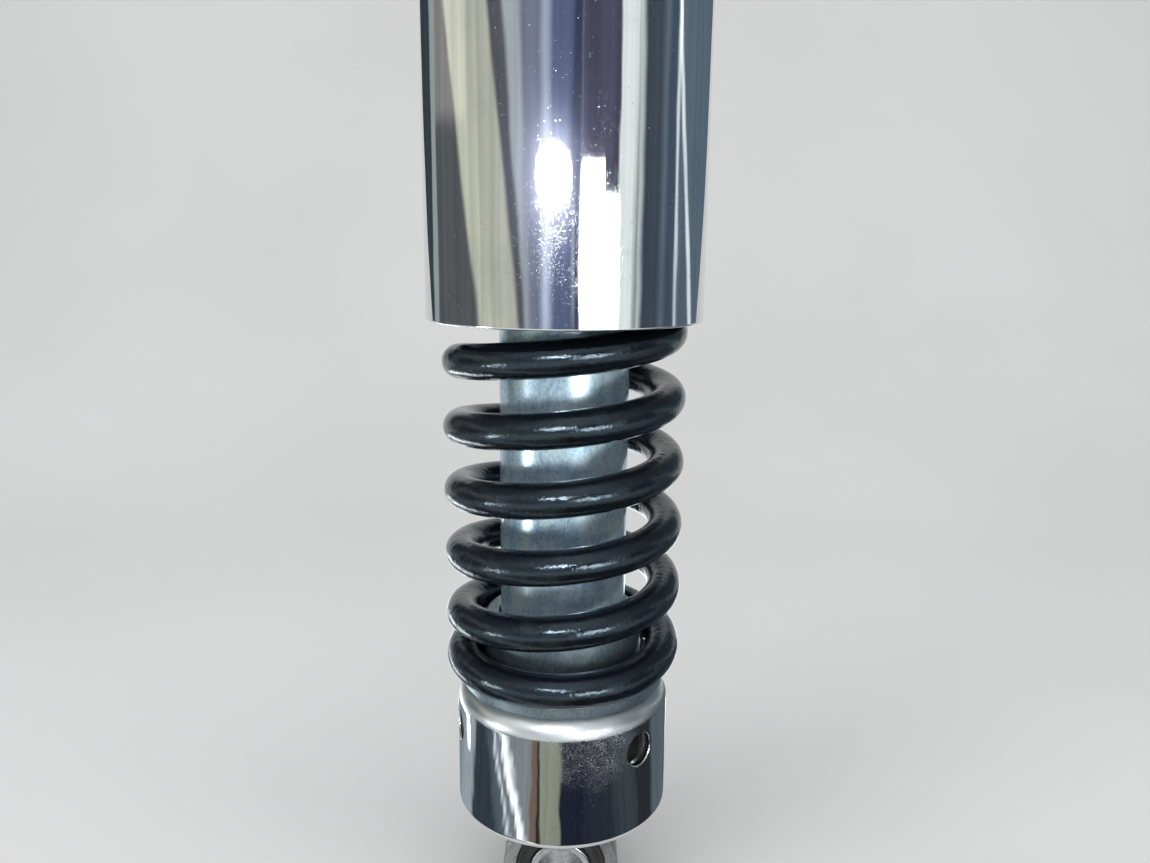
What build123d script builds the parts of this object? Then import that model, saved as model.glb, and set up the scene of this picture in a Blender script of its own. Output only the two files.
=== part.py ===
from build123d import *
from math import sqrt
import os

# Rear shock absorber of a cruiser motorcycle, in millimetres.
# The damper axis is Z, and the eyes' bolt axes lie along Y, the way the wheel's axle does.
# The origin is the centre of the upper eye. The outer side of the motorcycle faces -Y.

# Driving dimensions
# Length of the whole unit, and its travel
eye_to_eye = 305.0
stroke = 76.0
travel_clearance = 2.3

# Eyes, rubber bushes and steel sleeves, the same at both ends
eye_outer_r = 15.0
eye_width = 24.0
bush_r = 11.5
bush_proud = 0.8
sleeve_r = 8.0
bolt_hole_r = 6.1
sleeve_proud = 2.0
eye_edge = 0.8
neck_r = 9.5
neck_fillet = 1.6
fit_gap = 0.05

# Foot of the upper eye, which takes the rod's thread
foot_depth = 32.0
foot_r = 13.5
foot_height = 5.0
foot_fillet = 1.5
thread_r = 5.9
thread_depth = 14.5

# Top cover, a long chromed can open below
cover_gap = 2.4
cover_wall = 1.2
cover_length = 130.7
cover_shoulder_r = 5.0
cover_rim = 0.5

# Coil spring, right-hand, closed and ground at both ends
wire_r = 4.25
active_turns = 13.0
ground_depth = 0.6
dead_angle = 148.0
tail_angle = 120.0
tail_clearance = 0.14
joint_angle = 8.0
coil_start_angle = 298.0
pilot_gap = 1.3

# Upper spring seat, with its pilot collar inside the last coil
upper_seat_thickness = 2.5
upper_pilot_height = 8.0
upper_pilot_wall = 2.4
upper_seat_margin = 0.4

# Rod, lock nut and bump stop
rod_r = 6.25
rod_in_body = 30.0
nut_across_flats = 19.0
nut_height = 8.0
nut_chamfer = 0.9
bump_wall = 7.25
bump_length = 24.0
bump_groove_r = 2.0
bump_grooves = 2
bump_bore_gap = 0.2

# Damper body
tube_r = 16.0
tube_wall = 2.0
guide_height = 4.0
guide_spigot = 9.0
seal_wall = 3.75
seal_height = 4.0
seal_lip_gap = 0.3
running_gap = 0.05
guide_chamfer = 0.8

# Lower spring seat, a turned ring with a tall pilot collar
lower_seat_height = 53.1
lower_seat_inset = 1.2
lower_seat_thickness = 3.3
lower_pilot_height = 13.8
lower_pilot_wall = 3.7
tube_slip = 0.5
seat_edge = 0.8

# Preload adjuster: a chromed cup over a stepped cam
cup_overhang = 1.65
cup_wall = 1.8
cup_height = 34.7
cup_shoulder_r = 5.2
cup_lip_r = 2.3
cup_lip_width = 3.2
spanner_hole_r = 4.2
spanner_hole_depth = 11.5
spanner_hole_count = 3
spanner_hole_angle = -44.8
cam_margin = 0.2
cam_base_height = 7.5
cam_step_height = 2.4
cam_steps = 5
cam_repeats = 2
cam_start_angle = -25.0

# Stop lugs that the cam rests on, and the base that closes the tube
lug_angle = 22.0
lug_margin = 0.3
lug_seat_gap = 0.1
collar_wall = 2.6
collar_height = 2.6
collar_gap = 0.5
base_gap = 2.3
base_wall = 2.6
base_socket = 4.0
base_height = 8.5

# Places worked out from the driving dimensions
tube_hole_r = tube_r + tube_slip
pilot_r = tube_hole_r + lower_pilot_wall
coil_r = pilot_r + pilot_gap + wire_r
spring_outer_r = coil_r + wire_r
cover_r = spring_outer_r + cover_gap + cover_wall
cup_r = coil_r + cup_overhang
cup_lip_inner_r = cup_r - cup_lip_width
lower_seat_r = cup_r - lower_seat_inset
bump_r = rod_r + bump_wall
seal_r = rod_r + seal_wall
collar_r = tube_r + collar_wall
base_r = tube_r + base_wall
upper_seat_r = cover_r - cover_shoulder_r - upper_seat_margin
cam_r = cup_r - cup_shoulder_r - cam_margin
lug_outer_r = cam_r - lug_margin
cover_top_z = -foot_depth
cover_bottom_z = cover_top_z - cover_length
upper_plate_z = cover_top_z - cover_wall
upper_seat_z = upper_plate_z - upper_seat_thickness
nut_bottom_z = upper_seat_z - nut_height
bump_bottom_z = nut_bottom_z - bump_length
seal_top_z = bump_bottom_z - stroke - travel_clearance
guide_top_z = seal_top_z - seal_height
tube_top_z = guide_top_z - guide_height
rod_bottom_z = guide_top_z - rod_in_body
lower_eye_z = -eye_to_eye
lower_seat_z = lower_eye_z + lower_seat_height
cup_top_z = lower_seat_z - lower_seat_thickness
cup_bottom_z = cup_top_z - cup_height
spanner_hole_z = cup_top_z - spanner_hole_depth
cam_top_z = cup_top_z - cup_wall
cam_seat_z = cam_top_z - cam_base_height
cam_bottom_z = cam_seat_z - cam_step_height * (cam_steps - 1)
notch_angle = 360 / (cam_repeats * cam_steps)
lug_top_z = cam_seat_z - lug_seat_gap
collar_top_z = cam_bottom_z - collar_gap
collar_bottom_z = collar_top_z - collar_height
base_top_z = collar_bottom_z - base_gap
base_bottom_z = base_top_z - base_height
tube_bottom_z = base_top_z - base_socket
spring_gap_z = upper_seat_z - lower_seat_z
flat_centre = wire_r - ground_depth
active_height = spring_gap_z - 2 * flat_centre
pitch = active_height / active_turns
tail_drop = 2 * wire_r + tail_clearance - pitch * (360 - dead_angle - tail_angle) / 360


def ring(outer_r, inner_r, low_z, high_z):
    """A plain ring on the damper axis between two heights."""
    body = extrude(Circle(outer_r), high_z - low_z) - extrude(Circle(inner_r), high_z - low_z)
    return Pos(0, 0, low_z) * body


def turned(profile):
    """A solid of revolution about Z, from a profile of radius and height in the XZ plane."""
    return revolve(Plane.XZ * profile, axis=Axis.Z)


def across(outer_r, length, centre_z, inner_r=0.0):
    """A round piece along Y, centred on the eye's axis at a height."""
    section = Circle(outer_r)
    if inner_r > 0:
        section -= Circle(inner_r)
    return Pos(0, 0, centre_z) * Rot(90, 0, 0) * extrude(section, length / 2, both=True)


def eye_bore(centre_z):
    """The hole through an eye that the rubber bush is pressed into."""
    return across(bush_r, eye_width + 2 * sleeve_proud, centre_z)


def eye_on_neck(centre_z, neck_end_z):
    """The forged eye: a short thick ring along Y that runs over into a round neck by a fillet.

    The neck ends at a height above or below the eye, and the ring's outer rims are broken.
    """
    low_z = min(centre_z, neck_end_z)
    neck = Pos(0, 0, low_z) * extrude(Circle(neck_r), abs(centre_z - neck_end_z))
    body = across(eye_outer_r, eye_width, centre_z) + neck
    saddle = body.edges().filter_by(lambda edge: edge.geom_type not in (GeomType.CIRCLE, GeomType.LINE))
    room = eye_width / 2 - eye_edge - neck_r
    body = fillet(saddle, min(neck_fillet, room))
    rims = body.edges().group_by(Axis.Y)
    return chamfer(rims[0] + rims[-1], eye_edge)


def upper_eye():
    """Eye, neck and clamping foot in one forging, with the rod's hole from below."""
    foot_top_z = foot_height - foot_depth
    foot = Pos(0, 0, -foot_depth) * extrude(Circle(foot_r), foot_height)
    foot = chamfer(foot.edges().group_by(Axis.Z)[-1], eye_edge)
    body = eye_on_neck(0, -foot_depth) + foot
    corner = body.edges().filter_by_position(Axis.Z, foot_top_z - fit_gap, foot_top_z + fit_gap)
    body = fillet(corner.sort_by(SortBy.RADIUS)[0], foot_fillet)
    hole = Pos(0, 0, -foot_depth) * extrude(Circle(thread_r + fit_gap), thread_depth + fit_gap)
    return body - eye_bore(0) - hole


def bush(centre_z):
    """Rubber bush between an eye and its sleeve, a little proud of the eye's faces."""
    return across(bush_r - fit_gap, eye_width + 2 * bush_proud, centre_z, sleeve_r + fit_gap)


def sleeve(centre_z):
    """Steel sleeve that the vehicle's bolt passes through and clamps."""
    return across(sleeve_r, eye_width + 2 * sleeve_proud, centre_z, bolt_hole_r)


def top_cover():
    """Drawn can: a flat top with the rod's hole, a round shoulder, a long wall and an open end."""
    height = cover_top_z - cover_bottom_z
    outer = extrude(Circle(cover_r), height)
    outer = fillet(outer.edges().group_by(Axis.Z)[-1], cover_shoulder_r)
    inner = extrude(Circle(cover_r - cover_wall), height - cover_wall)
    inner = fillet(inner.edges().group_by(Axis.Z)[-1], cover_shoulder_r - cover_wall)
    hole = extrude(Circle(thread_r + fit_gap), height)
    can = outer - inner - hole
    rim = can.edges().group_by(Axis.Z)[0].sort_by(SortBy.RADIUS)[-1]
    return Pos(0, 0, cover_bottom_z) * chamfer(rim, cover_rim)


def upper_spring_seat():
    """Pressed plate under the can's top, with a short collar that centres the spring."""
    plate = ring(upper_seat_r, thread_r + fit_gap, upper_seat_z, upper_plate_z)
    plate = chamfer(plate.edges().group_by(Axis.Z)[-1].sort_by(SortBy.RADIUS)[-1], seat_edge)
    collar = ring(pilot_r, pilot_r - upper_pilot_wall, upper_seat_z - upper_pilot_height, upper_seat_z)
    collar = chamfer(collar.edges().group_by(Axis.Z)[0].sort_by(SortBy.RADIUS)[-1], seat_edge)
    return plate + collar


def lock_nut():
    """Hexagon nut that clamps the seat and the can up against the eye's foot."""
    blank = extrude(RegularPolygon(nut_across_flats / 2, 6, major_radius=False), nut_height)
    corner_r = nut_across_flats / sqrt(3)
    cone = Cylinder(corner_r, nut_height, align=(Align.CENTER, Align.CENTER, Align.MIN))
    cone = chamfer(cone.edges().group_by(Axis.Z)[0], nut_chamfer)
    hole = extrude(Circle(thread_r + fit_gap), nut_height)
    return Pos(0, 0, nut_bottom_z) * ((blank & cone) - hole)


def piston_rod():
    """Ground rod with a slimmer threaded end that screws into the eye's foot."""
    thread_top = -foot_depth + thread_depth
    thread = Pos(0, 0, nut_bottom_z) * extrude(Circle(thread_r), thread_top - nut_bottom_z)
    shaft = Pos(0, 0, rod_bottom_z) * extrude(Circle(rod_r), nut_bottom_z - rod_bottom_z)
    shaft = chamfer(shaft.edges().group_by(Axis.Z)[0], eye_edge)
    return thread + shaft


def bump_stop():
    """Rubber buffer on the rod, waisted by round grooves."""
    buffer = ring(bump_r, rod_r + bump_bore_gap, bump_bottom_z, nut_bottom_z)
    for groove in range(1, bump_grooves + 1):
        groove_z = bump_bottom_z + bump_length * groove / (bump_grooves + 1)
        buffer -= Pos(0, 0, groove_z) * Torus(bump_r, bump_groove_r)
    return buffer


def wire_ring(path, at):
    """The wire's round section, square to a path."""
    return Plane(origin=path @ at, z_dir=path % at) * Circle(wire_r)


def wire_stretch(start_angle, end_angle, climb, start_z):
    """Wire wound from one angle to another, climbing so much a turn."""
    span = end_angle - start_angle
    if climb == 0:
        path = CenterArc((0, 0), coil_r, 0, span)
    else:
        path = Helix(pitch=climb, height=climb * span / 360, radius=coil_r)
    path = Pos(0, 0, start_z) * Rot(0, 0, start_angle) * path
    return sweep(wire_ring(path, 0), path=path, is_frenet=True), path


def half_spring():
    """Lower half of the spring, its full pitch starting at angle 0 and height 0.

    The wire's last turn is closed: it lies flat through the dead angle and then dips through the tail,
    so that its end slips under the first open coil. The seat side is ground flat.
    """
    bend = joint_angle / 2
    middle = 360 * active_turns / 2
    tail_climb = tail_drop * 360 / tail_angle
    tail_start = -dead_angle - tail_angle
    tail, tail_path = wire_stretch(tail_start, -dead_angle - bend, tail_climb, -tail_drop)
    dead, dead_path = wire_stretch(-dead_angle + bend, -bend, 0, 0)
    coils, coils_path = wire_stretch(bend, middle, pitch, pitch * bend / 360)
    tail_joint = loft([wire_ring(tail_path, 1).face(), wire_ring(dead_path, 0).face()], ruled=True)
    coil_joint = loft([wire_ring(dead_path, 1).face(), wire_ring(coils_path, 0).face()], ruled=True)
    wound = tail + tail_joint + dead + coil_joint + coils
    above_seat = Pos(0, 0, -flat_centre) * extrude(Circle(2 * spring_outer_r), active_height)
    return wound & above_seat


def spring():
    """The lower half, and the same half turned over and screwed on to its open end."""
    lower = half_spring()
    turned_over = Pos(0, 0, active_height) * Rot(0, 0, 360 * active_turns) * Rot(180, 0, 0) * lower
    whole = lower + turned_over
    return Pos(0, 0, lower_seat_z + flat_centre) * Rot(0, 0, coil_start_angle) * whole


def body_tube():
    """Zinc-plated damper cylinder, hollow from the rod guide down to the base."""
    return ring(tube_r, tube_r - tube_wall, tube_bottom_z, tube_top_z)


def rod_guide():
    """Cap on the tube's mouth, with a spigot inside it and a running bore for the rod."""
    cap = Pos(0, 0, tube_top_z) * extrude(Circle(tube_r), guide_height)
    cap = chamfer(cap.edges().group_by(Axis.Z)[-1], guide_chamfer)
    spigot_r = tube_r - tube_wall - fit_gap
    spigot = Pos(0, 0, tube_top_z - guide_spigot) * extrude(Circle(spigot_r), guide_spigot)
    bore = Pos(0, 0, tube_top_z - guide_spigot) * extrude(Circle(rod_r + running_gap), guide_spigot + guide_height)
    return cap + spigot - bore


def dust_seal():
    """Rubber wiper on the guide, tapering up to a lip round the rod."""
    profile = Polyline(
        (rod_r + seal_lip_gap, 0),
        (seal_r, 0),
        (seal_r, seal_height / 2),
        (rod_r + seal_lip_gap + 1, seal_height),
        (rod_r + seal_lip_gap, seal_height),
        close=True,
    )
    return Pos(0, 0, guide_top_z) * turned(make_face(profile))


def lower_spring_seat():
    """Flat ring on the cup, with a tall pilot collar inside the closed coil."""
    plate = ring(lower_seat_r, tube_hole_r, cup_top_z, lower_seat_z)
    plate = chamfer(plate.edges().group_by(Axis.Z)[-1].sort_by(SortBy.RADIUS)[-1], seat_edge)
    collar = ring(pilot_r, tube_hole_r, lower_seat_z, lower_seat_z + lower_pilot_height)
    collar = chamfer(collar.edges().group_by(Axis.Z)[-1].sort_by(SortBy.RADIUS)[-1], seat_edge)
    return plate + collar


def cup_form(outer_r, bottom_z, top_z, top_r, bottom_r):
    """A round bar with its top and bottom corners rounded, for the cup's outside and inside."""
    bar = Pos(0, 0, bottom_z) * extrude(Circle(outer_r), top_z - bottom_z)
    bar = fillet(bar.edges().group_by(Axis.Z)[-1], top_r)
    return fillet(bar.edges().group_by(Axis.Z)[0], bottom_r)


def adjuster_cup():
    """Chromed preload adjuster: round shoulder, straight wall, turned-in lip and spanner holes."""
    outside = cup_form(cup_r, cup_bottom_z, cup_top_z, cup_shoulder_r, cup_lip_r)
    inside = cup_form(
        cup_r - cup_wall,
        cup_bottom_z + cup_wall,
        cup_top_z - cup_wall,
        cup_shoulder_r - cup_wall,
        cup_lip_r - cup_wall,
    )
    mouth = Pos(0, 0, cup_bottom_z) * extrude(Circle(cup_lip_inner_r), 2 * cup_wall)
    tube_hole = Pos(0, 0, cup_bottom_z) * extrude(Circle(tube_hole_r), cup_top_z - cup_bottom_z)
    cup = outside - inside - mouth - tube_hole
    drill = Pos(cup_r, 0, spanner_hole_z) * Rot(0, 90, 0) * Cylinder(spanner_hole_r, 3 * cup_wall)
    for hole in range(spanner_hole_count):
        cup -= Rot(0, 0, spanner_hole_angle + 360 * hole / spanner_hole_count) * drill
    return cup


def sector(outer_r, inner_r, start_angle, span, low_z, high_z):
    """A piece of ring between two angles and two heights."""
    profile = Pos((outer_r + inner_r) / 2, (low_z + high_z) / 2) * Rectangle(outer_r - inner_r, high_z - low_z)
    return Rot(0, 0, start_angle) * revolve(Plane.XZ * profile, axis=Axis.Z, revolution_arc=span)


def preload_cam():
    """Ring inside the cup whose lower edge climbs in steps, one notch for each preload setting."""
    cam = ring(cam_r, tube_hole_r, cam_bottom_z, cam_top_z)
    for repeat in range(cam_repeats):
        for notch in range(cam_steps - 1):
            start = cam_start_angle + 360 * repeat / cam_repeats + notch_angle * notch
            notch_z = cam_seat_z - cam_step_height * notch
            cam -= sector(cup_r, tube_r, start, notch_angle, cam_bottom_z - cam_step_height, notch_z)
    return cam


def stop_collar():
    """Ring welded on the tube, with one upright lug under each run of the cam's steps."""
    collar = ring(collar_r, tube_r + fit_gap, collar_bottom_z, collar_top_z)
    for repeat in range(cam_repeats):
        start = cam_start_angle + 360 * repeat / cam_repeats + (notch_angle - lug_angle) / 2
        collar += sector(lug_outer_r, tube_r + fit_gap, start, lug_angle, collar_bottom_z, lug_top_z)
    return collar


def lower_eye():
    """Base and eye in one forging: a round socket for the tube, a neck, and the eye below."""
    socket = Pos(0, 0, base_bottom_z) * extrude(Circle(base_r), base_height)
    socket = chamfer(socket.edges().group_by(Axis.Z)[0], 2 * eye_edge)
    seat = Pos(0, 0, tube_bottom_z) * extrude(Circle(tube_r + fit_gap), base_socket)
    eye = eye_on_neck(lower_eye_z, base_bottom_z + base_socket / 2)
    return socket + eye - seat - eye_bore(lower_eye_z)


nodes = {
    "upper_eye": upper_eye,
    "upper_bush": lambda: bush(0),
    "upper_sleeve": lambda: sleeve(0),
    "top_cover": top_cover,
    "upper_spring_seat": upper_spring_seat,
    "lock_nut": lock_nut,
    "piston_rod": piston_rod,
    "bump_stop": bump_stop,
    "spring": spring,
    "body_tube": body_tube,
    "rod_guide": rod_guide,
    "dust_seal": dust_seal,
    "lower_spring_seat": lower_spring_seat,
    "adjuster_cup": adjuster_cup,
    "preload_cam": preload_cam,
    "stop_collar": stop_collar,
    "lower_eye": lower_eye,
    "lower_bush": lambda: bush(lower_eye_z),
    "lower_sleeve": lambda: sleeve(lower_eye_z),
}

os.makedirs("parts", exist_ok=True)
for name, make in nodes.items():
    export_step(make(), f"parts/{name}.step")
print("pitch", round(pitch, 3), "tail drop", round(tail_drop, 3), "seal top", round(seal_top_z, 2))
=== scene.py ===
# %% [markdown]
# # A motorcycle's rear shock absorber, dressed over its CAD frame
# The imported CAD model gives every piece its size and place. This notebook gives them their looks: the
# bright plating, the black spring, the zinc-plated tube. Each step says what the piece is on the real
# object, how it could be made, and why this way was chosen.
# %% Load the frame
import math

import bmesh
import bpy
import numpy as np
from mathutils import Matrix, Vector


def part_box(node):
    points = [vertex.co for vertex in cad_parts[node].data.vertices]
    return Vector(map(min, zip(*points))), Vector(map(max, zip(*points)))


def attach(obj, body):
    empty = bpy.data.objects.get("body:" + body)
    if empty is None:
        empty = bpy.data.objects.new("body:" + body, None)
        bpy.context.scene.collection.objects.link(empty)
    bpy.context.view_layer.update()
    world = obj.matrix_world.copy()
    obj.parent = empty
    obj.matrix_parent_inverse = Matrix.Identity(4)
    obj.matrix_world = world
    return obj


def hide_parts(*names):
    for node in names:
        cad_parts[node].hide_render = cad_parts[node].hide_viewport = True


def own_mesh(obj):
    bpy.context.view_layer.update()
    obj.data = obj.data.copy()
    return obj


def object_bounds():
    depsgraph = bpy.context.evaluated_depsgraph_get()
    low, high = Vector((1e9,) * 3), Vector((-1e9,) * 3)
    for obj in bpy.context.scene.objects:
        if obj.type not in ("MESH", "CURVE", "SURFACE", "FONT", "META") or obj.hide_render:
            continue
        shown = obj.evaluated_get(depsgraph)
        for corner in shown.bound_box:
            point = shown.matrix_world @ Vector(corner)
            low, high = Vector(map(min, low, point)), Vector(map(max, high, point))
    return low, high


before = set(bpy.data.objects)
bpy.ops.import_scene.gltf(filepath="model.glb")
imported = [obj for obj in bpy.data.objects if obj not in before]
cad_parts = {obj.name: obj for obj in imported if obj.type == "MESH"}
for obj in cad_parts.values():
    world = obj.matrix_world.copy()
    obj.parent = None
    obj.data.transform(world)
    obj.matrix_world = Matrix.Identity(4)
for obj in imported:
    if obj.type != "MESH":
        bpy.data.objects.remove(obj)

cad_low, cad_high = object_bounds()

# %% [markdown]
# ## Sizes
# A designer keeps sizes in one place. The radii and heights come from the CAD boxes, so that nothing has
# to be fitted later. What a box doesn't tell, such as a wall or the radius of a corner, is a named value
# in millimetres beside the piece that it belongs to. On the shock everything is round about the Z axis,
# apart from the two eyes, which are round about Y.
# %% Read radii and heights from the CAD boxes
MM = 0.001
FULL_TURN = 2 * math.pi


def round_size(node):
    """Radius, lowest and highest height of a node that is round about Z."""
    low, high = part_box(node)
    return high.x, low.z, high.z


cover_r, cover_low, cover_high = round_size("top_cover")
spring_r, spring_low, spring_high = round_size("spring")
tube_r, tube_low, tube_high = round_size("body_tube")
cup_r, cup_low, cup_high = round_size("adjuster_cup")
seat_r, seat_low, seat_high = round_size("lower_spring_seat")
eye_r, eye_half_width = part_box("upper_eye")[1].x, 12.0 * MM
fit_gap, tube_slip = 0.05 * MM, 0.5 * MM
upper_eye_z = 0.0
lower_eye_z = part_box("lower_eye")[0].z + eye_r
print("cover", round(cover_r / MM, 2), "spring", round(spring_r / MM, 2), "cup", round(cup_r / MM, 2), "mm")

# %% [markdown]
# ## The camera
# The photograph was taken from very near, level with the lower third of the unit and looking a little
# down, so the cover on top looks wider than the cup. A camera can be turned by hand until it looks right,
# or worked out from the round outlines of the object. It was worked out: the round edges of the cover,
# the coils and the cup only close up at one distance, one height and one tilt.
# %% Set up the camera
photo_width = 1150
focal_pixels = 929.4
camera_place = (2.75 * MM, -228.0 * MM, -144.0 * MM)
camera_down = math.radians(11.61)
camera_roll = math.radians(0.514)
sensor_width = 36.0


def camera_axes(down, roll):
    """Right, up and back directions of a camera that looks along +Y, tips down and then rolls.

    Right is X turned by the roll towards up; up stays square to it; back is minus the line of sight.
    """
    right = np.array([1.0, 0.0, 0.0])
    up = np.array([0.0, math.sin(down), math.cos(down)])
    back = np.array([0.0, -math.cos(down), math.sin(down)])
    rolled_right = math.cos(roll) * right + math.sin(roll) * up
    rolled_up = math.cos(roll) * up - math.sin(roll) * right
    return rolled_right, rolled_up, back


camera_data = bpy.data.cameras.new("photo_camera")
camera_data.sensor_width = sensor_width
camera_data.lens = focal_pixels / photo_width * sensor_width
camera_data.clip_start = 0.005
camera = bpy.data.objects.new("photo_camera", camera_data)
bpy.context.scene.collection.objects.link(camera)
axes = np.eye(4)
axes[:3, :3] = np.column_stack(camera_axes(camera_down, camera_roll))
axes[:3, 3] = camera_place
camera.matrix_world = Matrix(axes)
bpy.context.scene.camera = camera
print("lens", round(camera_data.lens, 2), "mm at", [round(v / MM) for v in camera_place], "mm")

# %% [markdown]
# ## Surfaces from numbers
# Almost every piece here was turned on a lathe, drawn as a round cup, or wound. A lathe part is a flat
# outline that turns about an axis, so a point of its skin depends on two numbers: the place along the
# outline and the angle of the turn. numpy works out all of these points in one go. Modifiers could do
# the same, but arrays say exactly where each point lies, and a bright plated skin shows every mistake.
#
# Real edges are never sharp. A tiny arc on each corner catches the light, and two extra rows beside the
# arc keep the flat faces flat in the shading.
# %% Outlines with rounded corners
arc_steps = 7
support = 0.25 * MM


def unit(v):
    """Vectors along the last axis, each divided by its length."""
    return v / np.linalg.norm(v, axis=-1, keepdims=True)


def rounded(corners, closed=True):
    """Outline through corners given as (radius, height, arc radius) in metres, each made an arc.

    With half the inner angle h at a corner, an arc of radius f starts f / tan(h) along each side, and its
    centre lies f / sin(h) along the line that halves the angle. An arc's points are a blend of its two
    end spokes a and b: (a sin((1 - t) w) + b sin(t w)) / sin(w), where w is the angle between them.
    """
    c = np.asarray(corners, float)
    if closed:
        c = np.vstack([c[-1], c, c[0]])
    p, f = c[:, :2], c[1:-1, 2:]
    to_last, to_next = p[:-2] - p[1:-1], p[2:] - p[1:-1]
    u, v = unit(to_last), unit(to_next)
    half = 0.5 * np.arccos(np.clip((u * v).sum(1, keepdims=True), -1, 1))
    reach = f / np.tan(half)
    first, last = p[1:-1] + u * reach, p[1:-1] + v * reach
    centre = p[1:-1] + unit(u + v) * f / np.sin(half)
    w = math.pi - 2 * half[:, :, None]
    t = np.linspace(0, 1, arc_steps)[None, :, None]
    a, b = (first - centre)[:, None], (last - centre)[:, None]
    arcs = centre[:, None] + (a * np.sin((1 - t) * w) + b * np.sin(t * w)) / np.sin(w)
    room = 0.3 * np.minimum(np.linalg.norm(to_last, axis=1), np.linalg.norm(to_next, axis=1))[:, None]
    beside = np.minimum(support, np.maximum(room - reach, 0.05 * room))
    rows = np.concatenate([(first + u * beside)[:, None], arcs, (last + v * beside)[:, None]], axis=1)
    points = rows.reshape(-1, 2)
    return points if closed else np.vstack([p[0], points, p[-1]])


print("arc of", arc_steps, "points, support rows", support / MM, "mm away")

# %% [markdown]
# ## From arrays to a mesh
# A grid of points becomes a skin when each point is joined to its right and upper neighbours. The order
# of a face's corners decides which side is outside, so every outline here runs with the material on its
# left. Blender takes whole arrays with foreach_set, which is far quicker than adding points one by one.
# %% Grid faces and meshes


def grid_faces(rows, columns, wrap_rows, wrap_columns, first=0):
    """Corner numbers of the quads of a grid: (i, j), (i, j + 1), (i + 1, j + 1), (i + 1, j)."""
    i = np.arange(rows if wrap_rows else rows - 1)[:, None]
    j = np.arange(columns if wrap_columns else columns - 1)[None, :]
    up, right = (i + 1) % rows, (j + 1) % columns
    quads = [i * columns + j, i * columns + right, up * columns + right, up * columns + j]
    return first + np.stack(quads, axis=-1).reshape(-1, 4)


def fan_faces(pole, ring, outward_first):
    """Triangles between one pole point and a closed ring of point numbers."""
    after = np.roll(ring, -1)
    pair = (ring, after) if outward_first else (after, ring)
    return np.stack([np.full_like(ring, pole), pair[0], pair[1]], axis=-1)


def make_mesh(name, points, quads, triangles=None):
    """A smooth-shaded mesh object at the origin, filled from whole arrays."""
    triangles = np.zeros((0, 3), int) if triangles is None else triangles
    corners = np.concatenate([quads.ravel(), triangles.ravel()]).astype(np.int32)
    sizes = np.concatenate([np.full(len(quads), 4), np.full(len(triangles), 3)])
    mesh = bpy.data.meshes.new(name)
    mesh.vertices.add(len(points))
    mesh.vertices.foreach_set("co", np.asarray(points, np.float32).ravel())
    mesh.loops.add(len(corners))
    mesh.loops.foreach_set("vertex_index", corners)
    mesh.polygons.add(len(sizes))
    mesh.polygons.foreach_set("loop_start", (np.cumsum(sizes) - sizes).astype(np.int32))
    mesh.polygons.foreach_set("use_smooth", np.ones(len(sizes), bool))
    mesh.update(calc_edges=True)
    mesh.validate()
    piece = bpy.data.objects.new(name, mesh)
    bpy.context.scene.collection.objects.link(piece)
    return piece


def turned_points(outline, angles):
    """Outline turned about Z: (r cos a, r sin a, z) for each outline point (r, z) and each angle a."""
    r, z = outline[:, 0, None], outline[:, 1, None]
    return np.stack(np.broadcast_arrays(r * np.cos(angles), r * np.sin(angles), z), axis=-1)


def turned(name, outline, segments=256, poles=False):
    """A lathe part about Z. With poles, its outline starts and ends on the axis, and fans close it."""
    angles = np.arange(segments) * FULL_TURN / segments
    skin = outline[1:-1] if poles else outline
    points = turned_points(skin, angles).reshape(-1, 3)
    quads = grid_faces(len(skin), segments, not poles, True)
    if not poles:
        return make_mesh(name, points, quads)
    ring = np.arange(segments)
    ends = [[0, 0, outline[0, 1]], [0, 0, outline[-1, 1]]]
    low_fan = fan_faces(len(points), ring, False)
    high_fan = fan_faces(len(points) + 1, ring + (len(skin) - 1) * segments, True)
    return make_mesh(name, np.vstack([points, ends]), quads, np.vstack([low_fan, high_fan]))


def across(name, outline, centre_z, segments=192):
    """A lathe part about Y at a height: the point (x, y, z) of a turned part goes to (x, z, -y)."""
    angles = np.arange(segments) * FULL_TURN / segments
    p = turned_points(outline, angles).reshape(-1, 3)
    points = np.stack([p[:, 0], p[:, 2], centre_z - p[:, 1]], axis=-1)
    return make_mesh(name, points, grid_faces(len(outline), segments, True, True))


print("helpers ready")

# %% [markdown]
# ## Finishes as recipes
# A finish is a small network of nodes. Written out call by call it hides what matters, so a short helper
# adds a node, sets its numbers and joins its inputs in one line. All patterns live in Object coordinates,
# in metres, so a scale of 1000 means grains of about a millimetre, and a pit on the cup is as large as a
# pit on the cover. A colour that never changes sits on the shader's own socket.
# %% A helper for node recipes


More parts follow.
